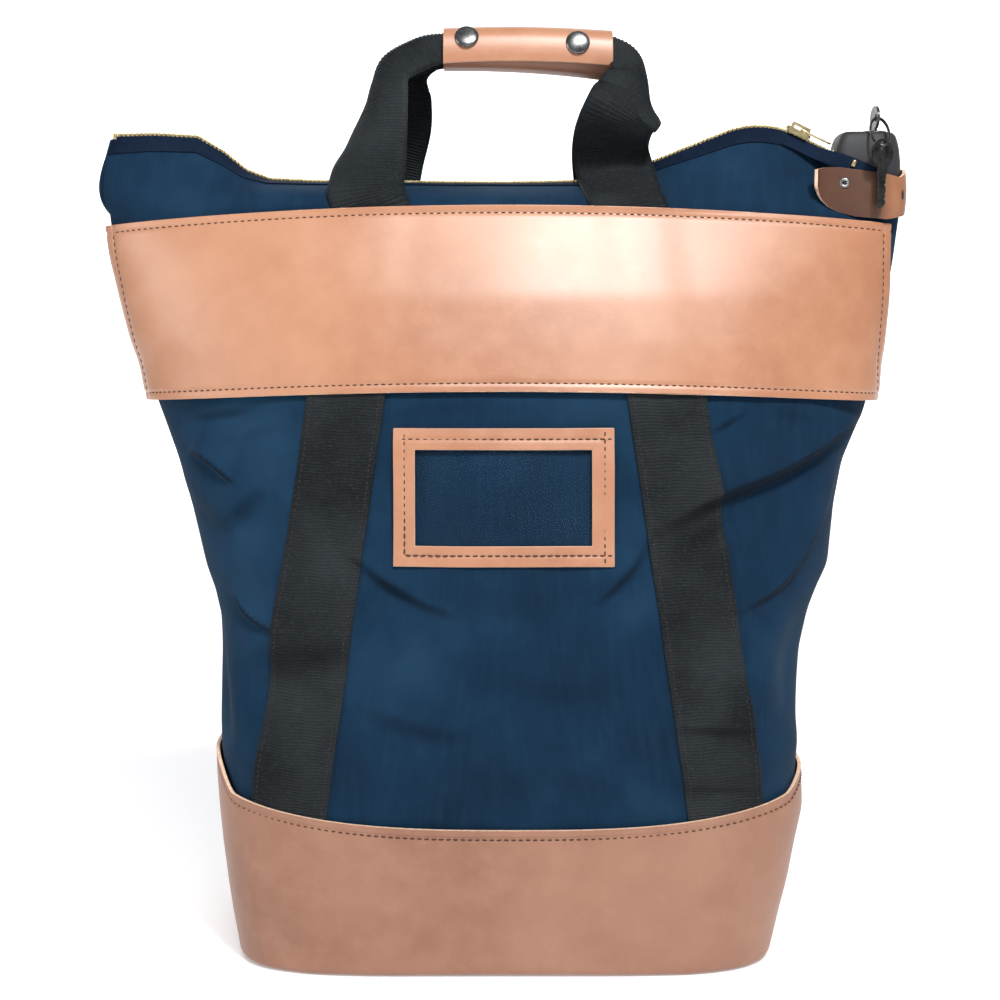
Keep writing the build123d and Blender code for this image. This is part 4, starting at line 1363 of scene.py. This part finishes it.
TAPE_END = [
    (184, -5.5, 543.5, 0.3, -0.75, -0.6, 4.5), (197, -8, 538.5, 0.3, -0.7, -0.7, 5.0),
    (211, -14.5, 532.5, 0.3, -0.5, -0.8, 5.2), (226, -19.9, 526.6, 0.3, -0.1, -0.95, 5.2),
    (240, -20.2, 521, 0.3, 0, -0.95, 5.0), (247, -19.9, 518, 0.3, 0, -0.95, 4.8),
]
strip("tape_end", TAPE_END, 1.1, [TAPE], "bag")
end_stop("end_stop_tape", (228.6, -20.9, 527.2), -0.45)

# ---------------------------------------------------------------- lock, cup and keys

LOCK_X = 246.0


def lock_radius(angle, left, half):
    """Distance from the barrel's axis to the lock's outline: round at the right and boxy at the left."""
    c, s = np.cos(angle), np.sin(angle)
    reach_left = (LOCK_X - left) / np.maximum(-c, 1e-6)
    reach_side = half / np.maximum(np.abs(s), 1e-6)
    boxy = (reach_left ** -8.0 + reach_side ** -8.0) ** (-1 / 8.0)
    return np.where(c >= 0, half, boxy)


def lock_ring(radius, angles, z):
    """A level ring about the barrel's axis."""
    x, y = LOCK_X + radius * np.cos(angles), radius * np.sin(angles)
    return np.stack([x, y, np.full(len(angles), z)], axis=-1)


def lock_body():
    count = 96
    angles = np.linspace(0, 2 * math.pi, count, endpoint=False)
    # height, left edge and half width of the outside, then radius and height of the barrel's bore
    levels = [(497.5, 214.5, 18.0), (510, 214.2, 18.0), (524, 213.8, 18.2), (530, 213.6, 18.0),
              (538, 214.4, 17.0), (543, 215.6, 15.8), (546.5, 217.0, 14.6), (548.4, 218.8, 13.0),
              (549.0, 221.0, 11.4)]
    bore = [(10.2, 549.0), (9.4, 548.9), (9.1, 548.4), (9.1, 536.0)]
    rings = [lock_ring(lock_radius(angles, left + 4.6, half), angles, z) for z, left, half in levels]
    rings += [lock_ring(radius, angles, z) for radius, z in bore]
    obj = grid_object("lock_body", np.stack(rings), [LOCK_BLACK], closed=True)

    def close(bm):
        for face in end_caps(len(rings), count):
            bm.faces.new([bm.verts[i] for i in face])
        bmesh.ops.recalc_face_normals(bm, faces=bm.faces)

    edit(obj, close)
    return place(obj, "bag", ("lock_housing",))


lock_body()
BARREL = [(6.15, 515), (6.15, 549.6), (6.5, 550), (8.2, 550), (8.9, 549.4), (8.9, 514), (6.15, 514)]
barrel = lathe("barrel", BARREL, (LOCK_X, 0, 0), (0, 0, 1), [GUNMETAL], 48, False)
place(barrel, "lock_barrel", ("lock_barrel",))


def plug():
    """The turning core with its slot for the key."""
    angles = np.linspace(0, 2 * math.pi, 48, endpoint=False)
    half_wide, half_long = 1.1, 4.2
    slot_r = np.minimum(half_wide / np.maximum(np.abs(np.cos(angles)), 1e-6),
                        half_long / np.maximum(np.abs(np.sin(angles)), 1e-6))
    rings = [lock_ring(radius, angles, z) for radius, z in ((6.0, 515.2), (6.0, 549.2), (5.6, 549.6))]
    rings += [lock_ring(slot_r * grow, angles, z) for grow, z in ((1.12, 549.6), (1.0, 549.2), (1.0, 526.0))]
    obj = grid_object("plug", np.stack(rings), [GUNMETAL], closed=True)
    outward(obj)
    return place(obj, "lock_plug", ("lock_plug",))


plug()


def cup():
    """The leather cup: a strip round the lock with a free, curled end at the front left."""
    plan = smooth_path([
        (203.2, -30.4, 0), (204.8, -28.2, 0), (209, -26.4, 0), (215, -25.0, 0), (224, -23.2, 0),
        (236, -22.2, 0), (246, -22.0, 0), (256, -19.8, 0), (263.5, -13.8, 0), (267.6, -5, 0),
        (267.6, 5, 0), (263.5, 13.8, 0),
        (256, 19.8, 0), (246, 21.6, 0), (232, 21.4, 0), (214, 21.4, 0),
    ], 110)
    run = np.linspace(0, 1, len(plan))
    rows = edge_spaced(0.0, 30.0, (0.5, 1.2, 2.4), 2.2) / 30.0
    top = np.interp(run, [0, 0.05, 0.12, 0.3, 0.42, 0.55, 0.8, 1.0],
                    [522.5, 524.3, 524.6, 521.5, 518.5, 525.3, 523, 522])
    low = np.interp(run, [0, 0.03, 0.07, 0.12, 0.2, 0.35, 0.5, 0.7, 1.0],
                    [512, 504, 498.5, 495.2, 492.6, 490.8, 494.5, 497.8, 497.8])
    out = unit(np.stack([plan[:, 0] - 240, plan[:, 1], 0 * run], axis=-1))
    points = []
    for t in rows:
        belly = 1.0 * np.sin(math.pi * t) * np.sin(math.pi * run)
        line = np.stack([plan[:, 0], plan[:, 1], low + (top - low) * t], axis=-1)
        points.append(line + out * (belly - 0.5)[:, None])
    points = np.stack(points)
    length = run_along(plan)
    uv = uv_grid(length, rows * 28)
    obj = grid_object("lock_cup_leather", points, [CUP, EDGE], uv)
    outward(obj)
    mesh = obj.data
    if sum(p.normal.y * p.area for p in mesh.polygons if p.center.y < -0.015) > 0:
        mesh.flip_normals()
    solidify(obj, 2.2, -1.0, 1)
    bevel(obj, 0.4)
    return place(obj, "bag", ("lock_cup",))


cup()
EYELET = [(1.3, -0.4), (1.3, 0.5), (1.9, 1.0), (2.6, 1.0), (3.3, 0.5), (3.4, -0.3)]
FRONT_EYELET, FRONT_WAY = np.array([222.5, -23.6, 514.5]), (-0.1, -1, 0.05)
eyelet = lathe("cup_eyelet_front", EYELET, FRONT_EYELET, FRONT_WAY, [ZINC], 32, False)
place(eyelet, "bag", ("cup_rivets",))
hole = lathe("cup_eyelet_hole", [(1.35, 0), (0.2, 0.05)], FRONT_EYELET + (0, -0.1, 0), FRONT_WAY, [LOCK_BLACK], 24)
place(hole, "bag")
place(lathe("cup_eyelet_back", EYELET, (232, 21.6, 512), (0, 1, 0), [ZINC], 32, False), "bag")
slot_spot = lathe("cup_slot", [(2.9, 0.0), (2.7, 0.15), (0.2, 0.2)], (0, 0, 0), (0, 0, 1), [LOCK_BLACK], 32)
for v in slot_spot.data.vertices:   # turned into the cup's right corner
    x, y, h = v.co / MM
    v.co = Vector((263.0 + x * 0.36 + h * 0.7, -15.2 + x * 0.32 - h * 0.6, 507 + y * 1.1)) * MM
outward(slot_spot)
place(slot_spot, "bag")


def key_shape(name, outline, hole, frame_at, across, thick, body, node):
    """A flat upright key: outline and hole are lists of (across, up) about frame_at."""
    up = np.array([0, 0, 1.0])
    out = np.cross(across, up)

    def locate(a, c, h):
        return np.asarray(frame_at) + across * a + up * c + out * h

    obj = cut_plate(name, [outline, hole], thick, locate, [KEY_STEEL], 0.3)
    return place(obj, body, (node,))


def circle(x, y, r, count=28):
    angles = [2 * math.pi * k / count for k in range(count)]
    return [(x + r * math.cos(a), y + r * math.sin(a)) for a in angles]


def key_outline(bow, blade_from, blade_to, half, cuts):
    """Bow outline joined to a blade with cut teeth on one side. Points run round the key."""
    neck = [(x, y) for x, y in bow if not (abs(x) < half + 0.5 and y < 0)]
    left = [(-half, blade_from), (-half, blade_to + 2), (-half * 0.2, blade_to)]
    right = []
    for k, depth in enumerate(cuts):
        y = blade_to + 3 + k * 3.0
        right += [(half - depth, y), (half - depth, y + 1.0), (half - 0.6, y + 2.0)]
    right.append((half, blade_from))
    ring = sorted(neck, key=lambda p: (math.atan2(p[1], p[0]) + math.pi / 2) % (2 * math.pi))
    return left + right + ring


HOLE_1 = np.array([LOCK_X, -10.0, 558.0])
RING_SPAN, RING_OUT = 27.0, 18.0   # between the two key holes: straight, and its part towards the front
HOLE_2 = HOLE_1 + np.array([0, -RING_OUT, -math.sqrt(RING_SPAN ** 2 - RING_OUT ** 2)])
KEY_THICK, BLADE_HALF = 1.8, 3.9
wide_bow = [(x * 1.2, y * 0.8) for x, y in circle(0, 0, 10.0, 36)]
key_shape("key_one", key_outline(wide_bow, -6.5, -31, BLADE_HALF, (1.2, 2.2, 0.9, 1.9, 1.4)),
          circle(7.0, -0.5, 2.6), (LOCK_X, -3.0, 558.5), np.array([0, -1.0, 0]), KEY_THICK,
          "key_in_lock", "key_in_lock")
turn = math.radians(35)
spare_bow = circle(0, 0, 9.6, 36)
key_shape("key_two", key_outline(spare_bow, -8.6, -36, BLADE_HALF, (1.0, 2.0, 1.5, 0.8, 2.1, 1.2)),
          circle(0, 4.6, 3.4), HOLE_2 + np.array([0, 0, -4.6]), np.array([math.cos(turn), math.sin(turn), 0]),
          KEY_THICK, "spare_key", "spare_key")


def split_ring():
    """Two turns of wire in a slightly oval ring between the keys."""
    centre = (HOLE_1 + HOLE_2) / 2
    down = unit(HOLE_2 - HOLE_1)
    wide = np.array([1.0, 0, 0])
    axis = np.cross(wide, down)
    angles = np.linspace(-math.pi / 2, 3.5 * math.pi, 150)
    share = np.linspace(0, 1, 150)
    path = (centre + np.outer(np.cos(angles) * 13.5, down) + np.outer(np.sin(angles) * 6.0, wide)
            + np.outer((share - 0.5) * 1.7, axis))
    tangent = unit(np.gradient(path, axis=0))
    sides, wire = 10, 0.75
    turns = np.linspace(0, 2 * math.pi, sides, endpoint=False)
    rings = []
    for p, t in zip(path, tangent):
        n = unit(np.cross(t, axis))
        b = np.cross(t, n)
        rings.append([p + wire * (n * math.cos(a) + b * math.sin(a)) for a in turns])
    points = np.array(rings)
    faces = grid_faces(len(points), sides, closed=True) + end_caps(len(points), sides, flip=True)
    obj = add_mesh("split_ring", points.reshape(-1, 3), faces, [KEY_STEEL])
    outward(obj)
    return place(obj, "key_ring", ("key_ring",))


split_ring()

# ---------------------------------------------------------------- camera, lights and floor


def glow(material, strength):
    bsdf = material.node_tree.nodes["Principled BSDF"]
    bsdf.inputs["Emission Color"].default_value = (1, 1, 1, 1)
    bsdf.inputs["Emission Strength"].default_value = strength


# Name, place, aim, size and watts
LAMPS = [
    ("key", (0.75, -1.9, 2.6), (0.0, 0.0, 0.35), (0.4, 0.4), 75),
    ("left_fill", (-1.9, -1.0, 0.9), (-0.1, 0.0, 0.3), (0.6, 0.8), 9),
    ("band_glow", (0.1, -1.6, 2.0), (0.03, 0.0, 0.45), (0.5, 0.6), 17),
    ("rim", (-0.9, 1.6, 1.5), (0.0, 0.0, 0.4), (1.2, 0.8), 8),
]
CAMERA_AT = (-0.005, -1.150, 0.430)
CAMERA_DOWN = math.radians(6.4)
SENSOR, LENS_PER_SENSOR = 36.0, 1.681


def studio():
    scene = bpy.context.scene
    floor_mat = plain_material("floor", (0.80, 0.80, 0.81), (0.84, 0.84, 0.85), 0.6, 3.0, 0.05)
    glow(floor_mat, 0.27)
    half, near, back, top = 3000, -2500, 2480, 3000
    floor = add_mesh("floor", [(-half, near, -0.4), (half, near, -0.4), (half, 2500, -0.4), (-half, 2500, -0.4)],
                     [(0, 1, 2, 3)], [floor_mat], smooth=False)
    screen_mat = bpy.data.materials.new("white_screen")
    screen_mat.use_nodes = True
    glow(screen_mat, 0.86)
    screen = add_mesh("screen", [(-half, back, -10), (half, back, -10), (half, back, top), (-half, back, top)],
                      [(0, 1, 2, 3)], [screen_mat], smooth=False)
    world = bpy.data.worlds.new("studio")
    scene.world = world
    world.use_nodes = True
    background = world.node_tree.nodes["Background"]
    background.inputs["Color"].default_value = (0.93, 0.95, 1.0, 1)
    background.inputs["Strength"].default_value = 0.30
    for name, at, aim, size, power in LAMPS:
        light = bpy.data.lights.new(name, "AREA")
        light.shape = "RECTANGLE"
        light.size, light.size_y = size
        light.energy = power
        lamp = bpy.data.objects.new(name, light)
        lamp.location = at
        lamp.rotation_euler = (Vector(aim) - Vector(at)).to_track_quat("-Z", "Y").to_euler()
        scene.collection.objects.link(lamp)
    camera_data = bpy.data.cameras.new("camera")
    camera_data.sensor_width = SENSOR
    camera_data.lens = SENSOR * LENS_PER_SENSOR
    camera = bpy.data.objects.new("camera", camera_data)
    camera.location = CAMERA_AT
    camera.rotation_euler = (math.radians(90) - CAMERA_DOWN, 0, 0)
    scene.collection.objects.link(camera)
    scene.camera = camera
    scene.view_settings.view_transform = "Standard"


studio()
